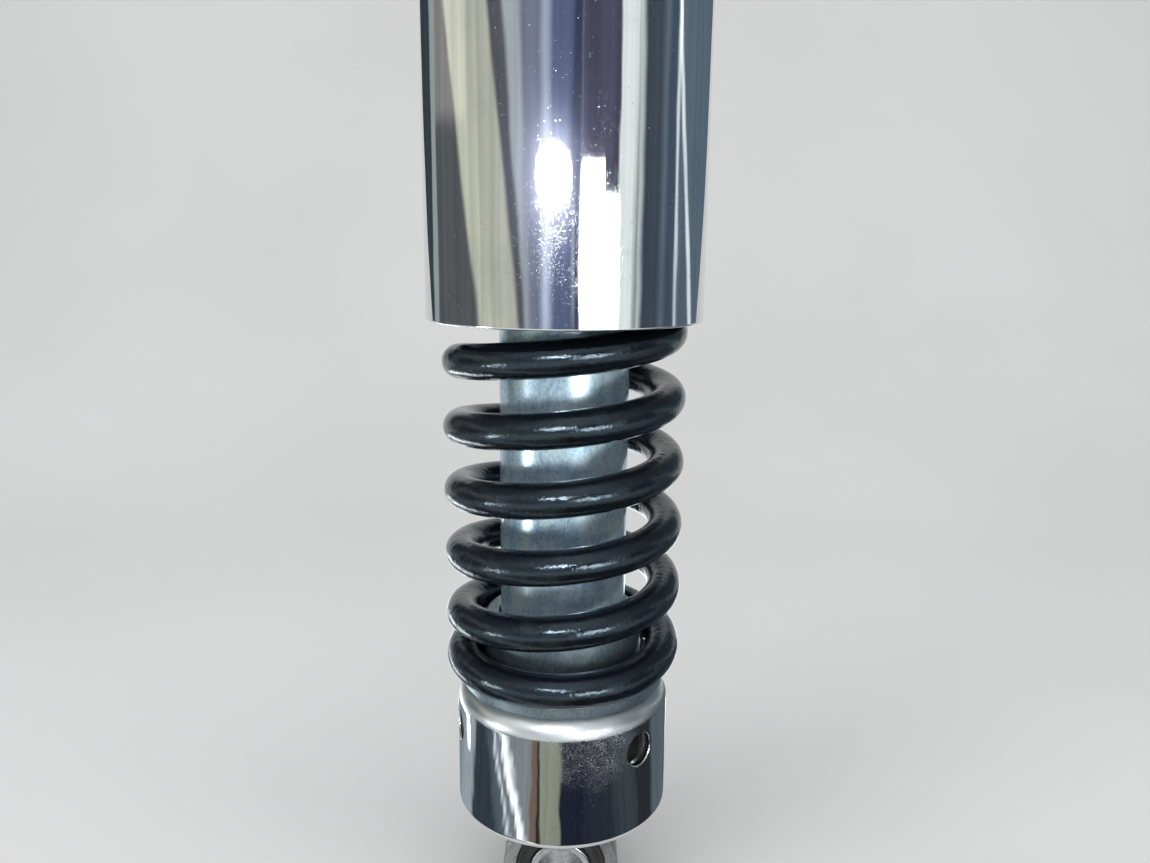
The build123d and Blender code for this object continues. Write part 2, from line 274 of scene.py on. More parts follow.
class Finish:
    """A material under construction, around one Principled shader."""

    def __init__(self, name, **sockets):
        self.material = bpy.data.materials.new(name)
        self.material.use_nodes = True
        self.tree = self.material.node_tree
        self.shader = self.tree.nodes["Principled BSDF"]
        self.place = self.add("TexCoord", out="Object")
        self.shine(**sockets)

    def shine(self, **sockets):
        """Sets or joins sockets of the shader; base_color means Base Color, and so on."""
        for key, value in sockets.items():
            self.put(self.shader.inputs[key.replace("_", " ").title().replace("Ior", "IOR")], value)

    def put(self, socket, value):
        """A socket value goes in by a link, and a plain value goes straight on to the socket."""
        if isinstance(value, bpy.types.NodeSocket):
            self.tree.links.new(value, socket)
        else:
            socket.default_value = value

    def add(self, kind, *inputs, out=0, **settings):
        """A node of a kind; inputs fill its sockets in order, and None leaves a socket as it is."""
        node = self.tree.nodes.new("ShaderNode" + kind)
        for key, value in settings.items():
            setattr(node, key, value)
        for socket, value in zip(node.inputs, inputs):
            if value is not None:
                self.put(socket, value)
        return node.outputs[out]

    def stretched(self, scale):
        """Object coordinates, stretched along each axis."""
        return self.add("Mapping", self.place, None, None, scale)

    def noise(self, scale, detail=3.0, rough=0.5, at=None, warp=0.0):
        """Cloudy noise from 0 to 1, usually near 0.5."""
        place = self.place if at is None else at
        return self.add("TexNoise", place, None, scale, detail, rough, 2.0, None, None, warp)

    def cells(self, scale, out="Distance"):
        """Scattered points: the distance to the nearest one, in cells, or its random Color."""
        return self.add("TexVoronoi", self.place, None, scale, out=out)

    def ramp(self, value, low, high, to_low=0.0, to_high=1.0):
        """Value between low and high, spread softly over another range and held at its ends."""
        return self.add("MapRange", value, low, high, to_low, to_high, interpolation_type="SMOOTHSTEP")

    def math(self, a, b=None, operation="ADD"):
        """A number worked out from one or two others."""
        return self.add("Math", a, b, operation=operation)

    def plus(self, a, b):
        """The sum of two numbers."""
        return self.math(a, b, "ADD")

    def times(self, a, b):
        """The product of two numbers."""
        return self.math(a, b, "MULTIPLY")

    def larger(self, a, b):
        """The larger of two numbers."""
        return self.math(a, b, "MAXIMUM")

    def mix(self, share, a, b):
        """Colour a where share is 0 and colour b where it is 1."""
        node = self.tree.nodes.new("ShaderNodeMix")
        node.data_type = "RGBA"
        for index, value in ((0, share), (6, a), (7, b)):
            self.put(node.inputs[index], value)
        return node.outputs[2]

    def relief(self, height, depth, normal=None):
        """Bump whose height of 1 stands for a real depth in metres."""
        node = self.tree.nodes.new("ShaderNodeBump")
        node.inputs["Strength"].default_value = 1.0
        node.inputs["Distance"].default_value = depth
        self.put(node.inputs["Height"], height)
        if normal is not None:
            self.put(node.inputs["Normal"], normal)
        return node.outputs[0]


def grey(value, blue=0.0):
    """A grey colour, a little bluer or warmer."""
    return (value - blue / 2, value, value + blue, 1.0)


finishes = {}
print("recipe helper ready")

# %% [markdown]
# ## Bright chromium plating
# The cover and the cup are drawn steel, polished and plated. Such a skin is a mirror with a life behind
# it: the sheet keeps a slight waviness from the drawing, fine wiping marks run round it, a cloth with
# grit in it leaves hair-thin scratches, dust gathers in dull specks, and where the plating has opened,
# tiny brown pits show the steel. A plain mirror would look like a toy, so all of them are here, each at
# its real scale, and the inside of the sheet is left dull, as plating hardly reaches it.
#
# A scratch is a line where a soft noise crosses its middle value. Such lines wander, close on themselves
# and never lie in a grid, and a second noise leaves only pieces of them.
# %% Chromium


def dusty(f, scale, radius, share, cluster):
    """Small round specks: cells of a size, of which a share is picked, thicker where cluster is near 1."""
    spot = f.ramp(f.cells(scale), radius, 0.5 * radius)
    pick = f.add("SeparateColor", f.cells(scale, out="Color"), out="Red")
    picked = f.math(pick, f.times(cluster, share), "LESS_THAN")
    return f.times(spot, picked)


def scratches(f, scale, width, where):
    """Thin wandering lines: places where a stretched noise is within a width of 0.5, in pieces."""
    level = f.noise(1.0, 1.0, 0.4, f.stretched(scale), 0.6)
    off = f.math(f.math(level, 0.5, "SUBTRACT"), operation="ABSOLUTE")
    return f.times(f.ramp(off, width, 0.3 * width), f.ramp(where, 0.50, 0.62))


def within_sheet(f, outer_r, top, shoulder, wall):
    """1 on the inner side of a drawn can and 0 on its outer side.

    With the shoulder's arc centre at (c, h), q is the length of (max(r - c, 0), max(z - h, 0)); the middle
    of the sheet is where q equals the shoulder's radius less half the wall.
    """
    flat_place = f.add("VectorMath", f.place, (1, 1, 0), operation="MULTIPLY")
    radius = f.add("VectorMath", flat_place, operation="LENGTH", out="Value")
    height = f.add("SeparateXYZ", f.place, out="Z")
    beyond_r = f.larger(f.math(radius, outer_r - shoulder, "SUBTRACT"), 0.0)
    beyond_z = f.larger(f.math(height, top - shoulder, "SUBTRACT"), 0.0)
    q = f.add("VectorMath", f.add("CombineXYZ", beyond_r, beyond_z), operation="LENGTH", out="Value")
    return f.ramp(q, shoulder - 0.45 * wall, shoulder - 0.55 * wall)


def specks(f, near, patch, veil_share):
    """Dust of two sizes, scratches and a milky veil, whichever is stronger, thickest where near is 1."""
    cluster = f.times(f.plus(patch, 0.22), f.plus(f.times(near, near), 0.05))
    big = f.times(dusty(f, 1900, 0.26, 0.18, cluster), 0.9)
    small = f.times(dusty(f, 3800, 0.42, 0.85, cluster), 0.6)
    hair = scratches(f, (420, 420, 150), 0.010, f.noise(330, 2.0, 0.5))
    hair = f.times(f.times(hair, 0.40), f.plus(near, 0.25))
    veil = f.times(f.ramp(f.noise(3100, 2.0, 0.6), 0.39, 0.66), f.ramp(near, 0.15, 0.9))
    veil = f.times(veil, f.plus(f.times(patch, 0.6), 0.55))
    veil = f.times(veil, veil_share)
    return f.larger(f.larger(f.larger(big, small), hair), veil)


def sheet_back(f):
    """Dull, cloudy grey of the inner side, which plating hardly reaches."""
    return f.mix(f.noise(90, 4.0), (0.10, 0.10, 0.11, 1), (0.22, 0.21, 0.20, 1))


dust_blue = (0.42, 0.46, 0.56, 1)
pit_brown = (0.13, 0.085, 0.06, 1)
brushed_grey = (0.27, 0.31, 0.32, 1)


def chromium(name, can=None, wave_size=(70, 70, 24), wave_depth=0.20 * MM, dust_at=(0, 0, 0),
             dust_reach=0.03, veil_share=0.12, dull_from=None):
    """Mirror plating with waviness, wiping marks, specks and pits.

    A can (outer radius, top, shoulder radius, wall) is dull on its inner side. Above the height dull_from
    the metal is brushed instead of polished.
    """
    f = Finish(name, ior=2.6)
    marks = f.noise(1.0, 2.0, 0.6, f.stretched((60, 60, 1500)))
    haze = f.ramp(f.noise(55, 4.0, 0.62, warp=0.4), 0.46, 0.74)
    patch = f.ramp(f.noise(150, 3.0, 0.6), 0.45, 0.68)
    away = f.add("VectorMath", f.place, dust_at, operation="DISTANCE", out="Value")
    speck = specks(f, f.ramp(away, dust_reach, 0.0), patch, veil_share)
    pit = dusty(f, 1150, 0.22, 0.05, patch)
    colour = f.mix(haze, grey(0.80, 0.012), grey(0.71, 0.03))
    colour = f.mix(f.times(speck, 0.75), colour, dust_blue)
    colour = f.mix(f.times(pit, 0.8), colour, pit_brown)
    rough = f.plus(0.020, f.times(marks, 0.03))
    rough = f.plus(rough, f.times(haze, 0.040))
    if dull_from is not None:
        height = f.add("SeparateXYZ", f.place, out="Z")
        brushed = f.ramp(height, dull_from - 0.4 * MM, dull_from + 0.8 * MM)
        rough = f.plus(rough, f.times(brushed, 0.27))
        colour = f.mix(f.times(brushed, 0.35), colour, brushed_grey)
    rough = f.plus(rough, f.times(f.larger(speck, pit), 0.34))
    metal = f.ramp(f.larger(speck, pit), 0.0, 1.0, 1.0, 0.55)
    wave = f.noise(1.0, 2.0, 0.45, f.stretched(wave_size))
    fine = f.plus(f.times(speck, 0.3), f.times(pit, -0.9))
    fine = f.plus(fine, f.times(f.noise(700, 2.0, 0.5), 0.05))
    surface = f.relief(fine, 0.010 * MM, f.relief(wave, wave_depth))
    if can is not None:
        inside = within_sheet(f, *can)
        colour = f.mix(inside, colour, sheet_back(f))
        rough = f.plus(rough, f.times(inside, 0.33))
    f.shine(base_color=colour, roughness=rough, metallic=metal, normal=surface)
    return f.material


cup_wall, cup_shoulder = 1.8 * MM, 5.2 * MM
cover_wall, cover_shoulder = 1.2 * MM, 5.0 * MM
cover_can = (cover_r, cover_high, cover_shoulder, cover_wall)
cup_can = (cup_r, cup_high, cup_shoulder, cup_wall)
cover_dust, cup_dust = (0.000, -cover_r, -0.142), (0.008, -cup_r, -0.261)
finishes["cover"] = chromium("cover_chromium", cover_can, dust_at=cover_dust, dust_reach=0.025,
                             veil_share=0.22)
finishes["cup"] = chromium("cup_chromium", cup_can, wave_size=(110, 110, 45), wave_depth=0.32 * MM,
                           dust_at=cup_dust, dust_reach=0.023, veil_share=0.95,
                           dull_from=cup_high - cup_shoulder)
finishes["eye"] = chromium("eye_chromium")
print("chromium made for", sorted(finishes))

# %% [markdown]
# ## Zinc plating
# The tube, the seats and the small turned parts are zinc plated. Zinc is softer to look at than chromium:
# bluish, cloudy, with a spangle of tiny crystals and turning marks under it. The clouds change both its
# colour and its roughness, because a rough patch scatters the light that a smooth one throws back.
# %% Zinc, for tube, seats and turned parts


def zinc(name, light, dark, base_rough, turning=1.0, grainy=1.0, patchy=0.14, metal=0.86):
    """Cloudy plating between two colours, with a fine grain, spangle and turning marks.

    Dark clouds are rougher than the base by up to patchy; turning and grainy scale the relief of marks and
    grain. A thin skin of oxide scatters a little light, so the plating is not wholly metallic.
    """
    f = Finish(name, metallic=metal, ior=2.2)
    cloud = f.noise(1.0, 4.0, 0.6, f.stretched((70, 70, 90)), warp=0.5)
    streak = f.noise(1.0, 3.0, 0.6, f.stretched((420, 420, 90)))
    lines = f.noise(1.0, 2.0, 0.5, f.stretched((25, 25, 2600)))
    grain = f.noise(1.0, 3.0, 0.75, f.stretched((1500, 1500, 1000)))
    spangle = f.add("SeparateColor", f.cells(1700, out="Color"), out="Blue")
    share = f.plus(f.times(cloud, 0.42), f.times(streak, 0.22))
    share = f.plus(share, f.times(grain, 0.36))
    tone = f.ramp(share, 0.40, 0.58)
    colour = f.mix(tone, dark, light)
    colour = f.mix(f.times(spangle, 0.22), colour, light)
    rough = f.plus(base_rough, f.ramp(share, 0.36, 0.64, patchy, 0.0))
    height = f.plus(f.times(lines, 0.25 * turning), f.times(spangle, 0.06))
    height = f.plus(height, f.times(grain, 0.35 * grainy))
    f.shine(base_color=colour, roughness=rough, normal=f.relief(height, 0.012 * MM))
    return f.material


finishes["tube"] = zinc("tube_zinc", (0.76, 0.95, 1.0, 1), (0.28, 0.48, 0.72, 1), 0.20,
                        turning=0.6, grainy=0.3, patchy=0.07, metal=0.60)
finishes["seat"] = zinc("seat_zinc", (0.31, 0.39, 0.43, 1), (0.15, 0.20, 0.24, 1), 0.30)
finishes["cam"] = zinc("cam_zinc", (0.17, 0.18, 0.18, 1), (0.06, 0.065, 0.07, 1), 0.42, turning=0.5)
finishes["forging"] = zinc("forging_zinc", (0.40, 0.42, 0.43, 1), (0.20, 0.22, 0.24, 1), 0.34, turning=0.2)
print("zinc finishes:", [n for n in finishes if n in ("tube", "seat", "cam", "forging")])

# %% [markdown]
# ## Black paint on the spring
# The spring was dipped or sprayed with thick black gloss paint. The paint is not level: it has the skin
# of an orange, small runs and grains of dust, and so a lamp's reflection on a coil breaks into bright
# crumbs instead of a clean line. Two sizes of relief do this. A clear coat on top would do it too, but
# one glossy layer is enough. Its reflections carry a painted blue tint, which stands for the bluish
# surroundings that the coils mirror and makes the black look deep.
# %% Spring paint


def spring_paint():
    """Blue-black gloss with orange skin, dust grains, faint grey rubbing and a painted blue tint on its
    reflections.
    """
    f = Finish("spring_black_paint", metallic=0.0, ior=1.62)
    skin = f.noise(680, 3.0, 0.65)
    lump = f.noise(190, 2.0, 0.5, warp=0.5)
    dust_share = f.ramp(f.noise(90, 3.0, 0.6), 0.42, 0.66)
    dust = dusty(f, 1500, 0.30, 0.16, dust_share)
    rub = f.ramp(f.noise(75, 5.0, 0.65, warp=0.8), 0.52, 0.72)
    colour = f.mix(rub, (0.0060, 0.0080, 0.0115, 1), (0.0130, 0.0165, 0.0225, 1))
    colour = f.mix(f.times(dust, 0.30), colour, (0.085, 0.095, 0.11, 1))
    rough = f.plus(0.14, f.times(rub, 0.12))
    rough = f.plus(rough, f.times(dust, 0.10))
    height = f.plus(f.times(skin, 0.80), f.times(lump, 0.9))
    height = f.plus(height, f.times(dust, 0.12))
    f.shine(base_color=colour, roughness=rough, normal=f.relief(height, 0.16 * MM))
    # The blue tint on the reflections is painted: it stands for the bluish surroundings that the coils
    # mirror.
    f.shine(specular_tint=(0.64, 0.85, 1.0, 1.0))
    return f.material


finishes["spring"] = spring_paint()
print("spring paint ready")

# %% [markdown]
# ## Rubber and ground steel
# The bushes, the bump stop and the wiper are moulded rubber: dark, matt, a little chalky with age. The
# rod and the sleeves are ground steel, where the grindstone leaves fine rings round the axis. Both recipes
# are short, because these pieces are small or sit inside, but each still has its own colour and relief.
# %% Rubber and steel


def rubber():
    """Dark moulded rubber with bloom and a fine grain."""
    f = Finish("moulded_rubber", metallic=0.0)
    bloom = f.ramp(f.noise(140, 5.0, 0.6), 0.40, 0.72)
    colour = f.mix(bloom, (0.017, 0.017, 0.018, 1), (0.052, 0.051, 0.050, 1))
    rough = f.ramp(bloom, 0.0, 1.0, 0.55, 0.82)
    height = f.plus(f.noise(1500, 3.0, 0.6), f.times(f.noise(260, 2.0), 1.5))
    f.shine(base_color=colour, roughness=rough, normal=f.relief(height, 0.03 * MM))
    return f.material


def ground_steel(name, rings):
    """Ground steel; rings is the stretch of its marks along each axis, large along the part's own axis."""
    f = Finish(name, metallic=1.0, ior=2.5)
    lines = f.noise(1.0, 2.0, 0.6, f.stretched(rings))
    stain = f.ramp(f.noise(170, 4.0, 0.6), 0.50, 0.75)
    colour = f.mix(stain, (0.56, 0.56, 0.57, 1), (0.40, 0.385, 0.365, 1))
    rough = f.plus(f.ramp(lines, 0.3, 0.7, 0.16, 0.30), f.times(stain, 0.12))
    f.shine(base_color=colour, roughness=rough, normal=f.relief(lines, 0.008 * MM))
    return f.material


finishes["rubber"] = rubber()
finishes["rod"] = ground_steel("rod_steel", (40, 40, 2400))
finishes["sleeve"] = ground_steel("sleeve_steel", (40, 2400, 40))
print("finishes:", len(finishes))


def fit(piece, finish, body, node):
    """Gives a piece its finish and its body, and hides the CAD node that it stands for."""
    piece.data.materials.append(finishes[finish])
    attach(piece, body)
    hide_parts(node)
    faces = piece.data.polygons
    print(piece.name, "points", len(piece.data.vertices), "faces", len(faces), "on", body)
    return piece


# %% [markdown]
# ## The cover
# The cover is one sheet, drawn into a long can. Its top is clamped under the eye's foot, its shoulder is
# round, and its open end shows as a thin bright line with the dark inside under it. A solid with a
# Solidify modifier would give the wall, but the outline of the cut sheet is simpler: up the outside, in
# over the top, and down again 1.2 mm further in.
# %% Cover
cover_edge = 0.45 * MM
rod_hole_r = 5.95 * MM
cover_outline = rounded([
    (cover_r, cover_low, cover_edge),
    (cover_r, cover_high, cover_shoulder),
    (rod_hole_r, cover_high, 0.3 * MM),
    (rod_hole_r, cover_high - cover_wall, 0.3 * MM),
    (cover_r - cover_wall, cover_high - cover_wall, cover_shoulder - cover_wall),
    (cover_r - cover_wall, cover_low, cover_edge),
])
fit(turned("cover_can", cover_outline, 384), "cover", "upper", "top_cover")

# %% [markdown]
# ## The spring
# The wire is wound right-hand. Between its ends it climbs the same height on every turn; at each end the
# last turn lies flat, its tip dips under the next coil, and the side towards the seat is ground flat.
# A helix from a modifier has no such ends. Here a round section is carried along a path whose height is a
# function of the angle: it climbs, eases into the flat turn, and dips at the tip. Grinding is one line:
# no point may lie beyond the plane of the seat.
# %% Path of the wire
wire_r = 4.25 * MM
coil_r = spring_r - wire_r
ground = 0.6 * MM
flat_low = spring_low + wire_r - ground
flat_high = spring_high - wire_r + ground
turns = 13.0
climb_start = math.radians(298.0)
dead_angle, tail_angle = math.radians(148.0), math.radians(120.0)
tail_dip = 4.533 * MM
ease = math.radians(60.0)


def eased_ramp(angle, start, width):
    """A slope of 1 from start on, that begins softly: its corner is a parabola as wide as width.

    With s = angle - start + width / 2: 0 below s = 0, s squared / (2 width) up to s = width, and
    then s - width / 2.
    """
    s = np.clip(angle - start + width / 2, 0, None)
    return np.where(s < width, s * s / (2 * width), s - width / 2)


def wire_height(angle):
    """Height of the wire's centre: flat end, even climb, flat end, with both tips dipping to the seats."""
    climb = (flat_high - flat_low) / (turns * FULL_TURN)
    top_start = climb_start + turns * FULL_TURN
    middle = eased_ramp(angle, climb_start, ease) - eased_ramp(angle, top_start, ease)
    low_dip = eased_ramp(-angle, dead_angle - climb_start, ease / 3)
    high_dip = eased_ramp(angle, top_start + dead_angle, ease / 3)
    return flat_low + climb * middle + (high_dip - low_dip) * tail_dip / tail_angle


wire_start = climb_start - dead_angle - tail_angle
wire_end = climb_start + turns * FULL_TURN + dead_angle + tail_angle
print("wire from", round(math.degrees(wire_start)), "to", round(math.degrees(wire_end)), "degrees")

# %% [markdown]
# ## The wire's skin
# The section stays square to the path. Its two directions are the radius from the axis and, square to
# that and to the wire's own direction, nearly the vertical. A curve with a round bevel would do as much,
# but it can't be ground flat at the seats. A little unevenness of the paint, a few hundredths of a
# millimetre, is in the shape itself, so that even the outline of a coil isn't ruled.
# %% Carry the wire's section along its path
steps_per_turn, section_steps = 92, 44
tip_edge, paint_wave = 0.5 * MM, 0.012 * MM
tip_ring_share = 0.93


def wire_surface():
    """Points centre + r (cos b out + sin b side) for each angle along the wire and each b round it.

    out = (cos a, sin a, 0), along = unit of the path's derivative, side = along x out. The radius r is the
    wire's own, less two heights of a paint wave, plus two such sine waves. Heights are held between the
    seat planes. Near an end, at a distance s below e, r lacks e - sqrt(e squared - (e - s) squared): a
    rounded edge.
    """
    count = int((wire_end - wire_start) / FULL_TURN * steps_per_turn)
    near_end = tip_edge / coil_r * (1 - np.cos(np.linspace(0, math.pi / 2, 6)))
    between = np.linspace(wire_start + 2 * near_end[-1], wire_end - 2 * near_end[-1], count)
    a = np.concatenate([wire_start + near_end, between, wire_end - near_end[::-1]])[:, None]
    short = np.clip(tip_edge - coil_r * np.minimum(a - wire_start, wire_end - a), 0, tip_edge)
    lack = tip_edge - np.sqrt(tip_edge ** 2 - short ** 2)
    b = np.arange(section_steps) * FULL_TURN / section_steps
    z = wire_height(a)
    out = np.concatenate([np.cos(a), np.sin(a), 0 * a], axis=1)
    slope = np.gradient(z[:, 0], a[:, 0])[:, None]
    along = unit(np.concatenate([-coil_r * np.sin(a), coil_r * np.cos(a), slope], axis=1))
    side = np.cross(along, out)
    paint = paint_wave * (np.sin(7.3 * a + 2 * b) + np.sin(17.7 * a + np.sin(3.1 * a) - b))
    radius = (wire_r - 2 * paint_wave + paint - lack)[:, :, None]
    centre = (coil_r * out + np.concatenate([0 * a, 0 * a, z], axis=1))[:, None]
    ring = np.cos(b)[:, None] * out[:, None] + np.sin(b)[:, None] * side[:, None]
    points = centre + radius * ring
    points[..., 2] = np.clip(points[..., 2], spring_low, spring_high)
    return points


def tube_with_ends(name, points):
    """A long grid of rings, wrapped round; each end has a slightly smaller ring and a fan to its middle."""
    ends = points[[0, -1]].mean(axis=1)
    inner = ends[:, None] + tip_ring_share * (points[[0, -1]] - ends[:, None])
    points = np.concatenate([inner[:1], points, inner[1:]])
    count, around = points.shape[:2]
    quads = grid_faces(count, around, False, True)
    ring = np.arange(around)
    low_fan = fan_faces(count * around, ring, False)
    high_fan = fan_faces(count * around + 1, ring + (count - 1) * around, True)
    return make_mesh(name, np.vstack([points.reshape(-1, 3), ends]), quads, np.vstack([low_fan, high_fan]))


spring = fit(tube_with_ends("coil_spring", wire_surface()), "spring", "upper", "spring")
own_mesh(spring)

# %% [markdown]
# ## Tube, guide and wiper
# The damper's tube is plain drawn tube with a zinc skin. Its mouth is closed by a turned guide, and a
# rubber wiper on the guide keeps dirt off the rod. A cylinder for each would look right from outside, but
# they show between the coils and from below, so they are lathe outlines again, each with its own wall.
# %% Damper tube, rod guide, wiper
tube_wall = 2.0 * MM
guide_low, guide_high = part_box("rod_guide")[0].z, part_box("rod_guide")[1].z
seal_r, seal_low, seal_high = round_size("dust_seal")
rod_r = 6.25 * MM
guide_bore, spigot_r = rod_r + fit_gap, tube_r - tube_wall - fit_gap
tube_outline = rounded([
    (tube_r, tube_low, 0.3 * MM), (tube_r, tube_high, 0.15 * MM),
    (tube_r - tube_wall, tube_high, 0.3 * MM), (tube_r - tube_wall, tube_low, 0.3 * MM),
])
fit(turned("damper_tube", tube_outline, 288), "tube", "lower", "body_tube")
guide_outline = rounded([
    (spigot_r, guide_low, 0.4 * MM), (spigot_r, tube_high, 0.1 * MM), (tube_r, tube_high, 0.15 * MM),
    (tube_r, guide_high, 0.8 * MM), (guide_bore, guide_high, 0.3 * MM), (guide_bore, guide_low, 0.3 * MM),
])
fit(turned("guide_cap", guide_outline), "tube", "lower", "rod_guide")
lip_r, lip_width = rod_r + 0.3 * MM, 1.0 * MM
seal_shoulder = seal_low + 2.0 * MM
seal_outline = rounded([
    (seal_r, seal_low, 0.2 * MM), (seal_r, seal_shoulder, 0.5 * MM),
    (lip_r + lip_width, seal_high, 0.2 * MM), (lip_r, seal_high, 0.1 * MM), (lip_r, seal_low, 0.2 * MM),
])
fit(turned("rod_wiper", seal_outline, 128), "rubber", "lower", "dust_seal")

# %% [markdown]
# ## Rod and bump stop
# The rod carries the cover, the upper seat and the eye. It is a solid bar, so its outline begins and ends
# on the axis, and two fans close it. The bump stop round it is rubber with round waists, so that it
# shortens softly. Three rings one above the other would do, but one formula for the radius at each height
# gives waists and rounded ends in a single skin.
# %% Rod and bump stop
foot_low, thread_depth = -32.0 * MM, 14.5 * MM
rod_top = foot_low + thread_depth
rod_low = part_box("piston_rod")[0].z
nut_low, nut_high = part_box("lock_nut")[0].z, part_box("lock_nut")[1].z
thread_r = 5.9 * MM
rod_outline = rounded([
    (0, rod_low, 0), (rod_r, rod_low, 0.8 * MM), (rod_r, nut_low, 0.2 * MM),
    (thread_r, nut_low, 0.15 * MM), (thread_r, rod_top, 0.5 * MM), (0, rod_top, 0),
], closed=False)
fit(turned("damper_rod", rod_outline, 160, poles=True), "rod", "upper", "piston_rod")
stop_r, stop_low, stop_high = round_size("bump_stop")
stop_bore = rod_r + 0.2 * MM
waist_r = 2.0 * MM
stop_rows = 90
stop_edge = 1.0 * MM


def bump_outline():
    """Radius at each height: the stop's own, less sqrt(w^2 - d^2) within w of the middle of a waist."""
    z = np.linspace(stop_low, stop_high, stop_rows)
    waists = stop_low + (stop_high - stop_low) * np.array([1, 2])[:, None] / 3
    depth = np.sqrt(np.clip(waist_r ** 2 - (z - waists) ** 2, 0, None)).max(axis=0)
    from_end = np.minimum(z - stop_low, stop_high - z)
    short = np.clip(stop_edge - from_end, 0, stop_edge)
    ends = stop_edge - np.sqrt(stop_edge ** 2 - short ** 2)
    outside = np.column_stack([stop_r - depth - ends, z])
    return np.vstack([outside, [[stop_bore, stop_high], [stop_bore, stop_low]]])


fit(turned("bump_rubber", bump_outline(), 160), "rubber", "upper", "bump_stop")

# %% [markdown]
# ## Lock nut
# The nut clamps the upper seat and the cover against the eye's foot. A hexagon isn't a lathe part, but its
# skin is still a function of angle and height: across the flats the radius is the half width divided by
# the cosine of the angle from the middle of a flat, and the turned chamfer cuts that off wherever its cone
# is nearer. A cylinder of six sides would be quicker, but it has no such cone.
# %% Lock nut
nut_half = 9.5 * MM
nut_chamfer, nut_edge = 0.9 * MM, 0.2 * MM
nut_segments = 360


def hexagon_points():
    """Grid of a nut: r = least of half / cos(angle from a flat's middle) and the chamfer's cone.

    The cone starts a chamfer's depth inside the corners at the lower face and opens at 45 degrees upwards.
    """
    a = np.arange(nut_segments) * FULL_TURN / nut_segments
    sixth = FULL_TURN / 6
    flat = nut_half / np.cos((a % sixth) - sixth / 2)
    corner = nut_half / math.cos(sixth / 2)
    z = np.concatenate([nut_low + nut_chamfer * np.linspace(0, 1, 10), [nut_high - 0.3 * MM, nut_high]])
    cone = corner - np.clip(nut_low + nut_chamfer - z, 0, None)
    top_edge = np.where(z >= nut_high, nut_edge, 0)
    outside = np.minimum(flat[None, :], cone[:, None]) - top_edge[:, None]
    rings = np.vstack([outside, np.full((2, nut_segments), rod_hole_r)])
    heights = np.concatenate([z, [nut_high, nut_low]])[:, None]
    return np.stack(np.broadcast_arrays(rings * np.cos(a), rings * np.sin(a), heights), axis=-1)


nut_points = hexagon_points()
nut_faces = grid_faces(len(nut_points), nut_segments, True, True)
nut = make_mesh("rod_nut", nut_points.reshape(-1, 3), nut_faces)
nut.data.set_sharp_from_angle(angle=math.radians(28))
fit(nut, "forging", "upper", "lock_nut")

# %% [markdown]
# ## Spring seats
# The spring stands on a turned ring with a tall collar that keeps it central. Its top presses against a
# stamped plate with a short collar. The lower one shows in the photograph between the last coils as a
# light grey band, and its edge as a thin ring over the cup. A disc and a tube could be joined for each,
# but one outline has no faces hidden inside and rounds the corner between them as well.
# %% Seats
collar_r = 20.2 * MM
seat_bore = tube_r + tube_slip
plate_top = seat_high - 13.8 * MM
lower_outline = rounded([
    (seat_r, seat_low, 0.3 * MM), (seat_r, plate_top, 0.8 * MM), (collar_r, plate_top, 0.6 * MM),
    (collar_r, seat_high, 0.9 * MM), (seat_bore, seat_high, 0.3 * MM), (seat_bore, seat_low, 0.3 * MM),
])
fit(turned("spring_seat_low", lower_outline, 320), "seat", "lower", "lower_spring_seat")
plate_r, plate_low, plate_high = round_size("upper_spring_seat")
upper_seat = spring_high
pilot_wall = 2.4 * MM
pilot_bore = collar_r - pilot_wall
upper_outline = rounded([
    (plate_r, upper_seat, 0.4 * MM), (plate_r, plate_high, 0.8 * MM), (rod_hole_r, plate_high, 0.3 * MM),
    (rod_hole_r, upper_seat, 0.3 * MM), (pilot_bore, upper_seat, 0.6 * MM),
    (pilot_bore, plate_low, 0.4 * MM), (collar_r, plate_low, 0.8 * MM), (collar_r, upper_seat, 0.6 * MM),
])
fit(turned("spring_seat_high", upper_outline, 288), "seat", "upper", "upper_spring_seat")

# %% [markdown]
# ## The adjuster cup
# The cup hangs over the stepped cam. It is a lathe part too: round shoulder, straight wall, lip turned in
# below. Three holes take the pin of a hook spanner. A Boolean would cut them, but it leaves long thin
# faces that a bright skin shows. So a block of the wall's grid is taken out round each hole and replaced
# by a patch of rings that run from the block's straight border to the hole's circle, over a small rounded
# edge, through the wall and out again on the inner side.
# %% Cup outline, with rows that suit the holes
cup_lip = 2.3 * MM
cup_lip_inner = cup_r - 3.2 * MM
hole_r, hole_edge = 4.2 * MM, 0.35 * MM
hole_z = cup_high - 11.5 * MM
hole_count, first_hole = 3, math.radians(-44.8)
hole_angles = first_hole + np.arange(hole_count) * FULL_TURN / hole_count
cup_columns, block_half_columns = 360, 14
block_half_height, block_rows = 5.6 * MM, 14
blend_rows, rim_steps, crowding = 9, 6, 0.8


def add_rows(outline, radius, heights):
    """Puts more points into the outline's straight run at a radius, so that the grid has rows there."""
    after = np.roll(outline, -1, axis=0)
    straight = np.isclose(outline[:, 0], radius) & np.isclose(after[:, 0], radius)
    low = np.minimum(outline[:, 1], after[:, 1])
    high = np.maximum(outline[:, 1], after[:, 1])
    at = np.flatnonzero(straight & (low < heights.min()) & (high > heights.max()))[0]
    rising = after[at, 1] > outline[at, 1]
    rows = np.sort(heights) if rising else np.sort(heights)[::-1]
    return np.insert(outline, at + 1, np.column_stack([np.full(len(rows), radius), rows]), axis=0)


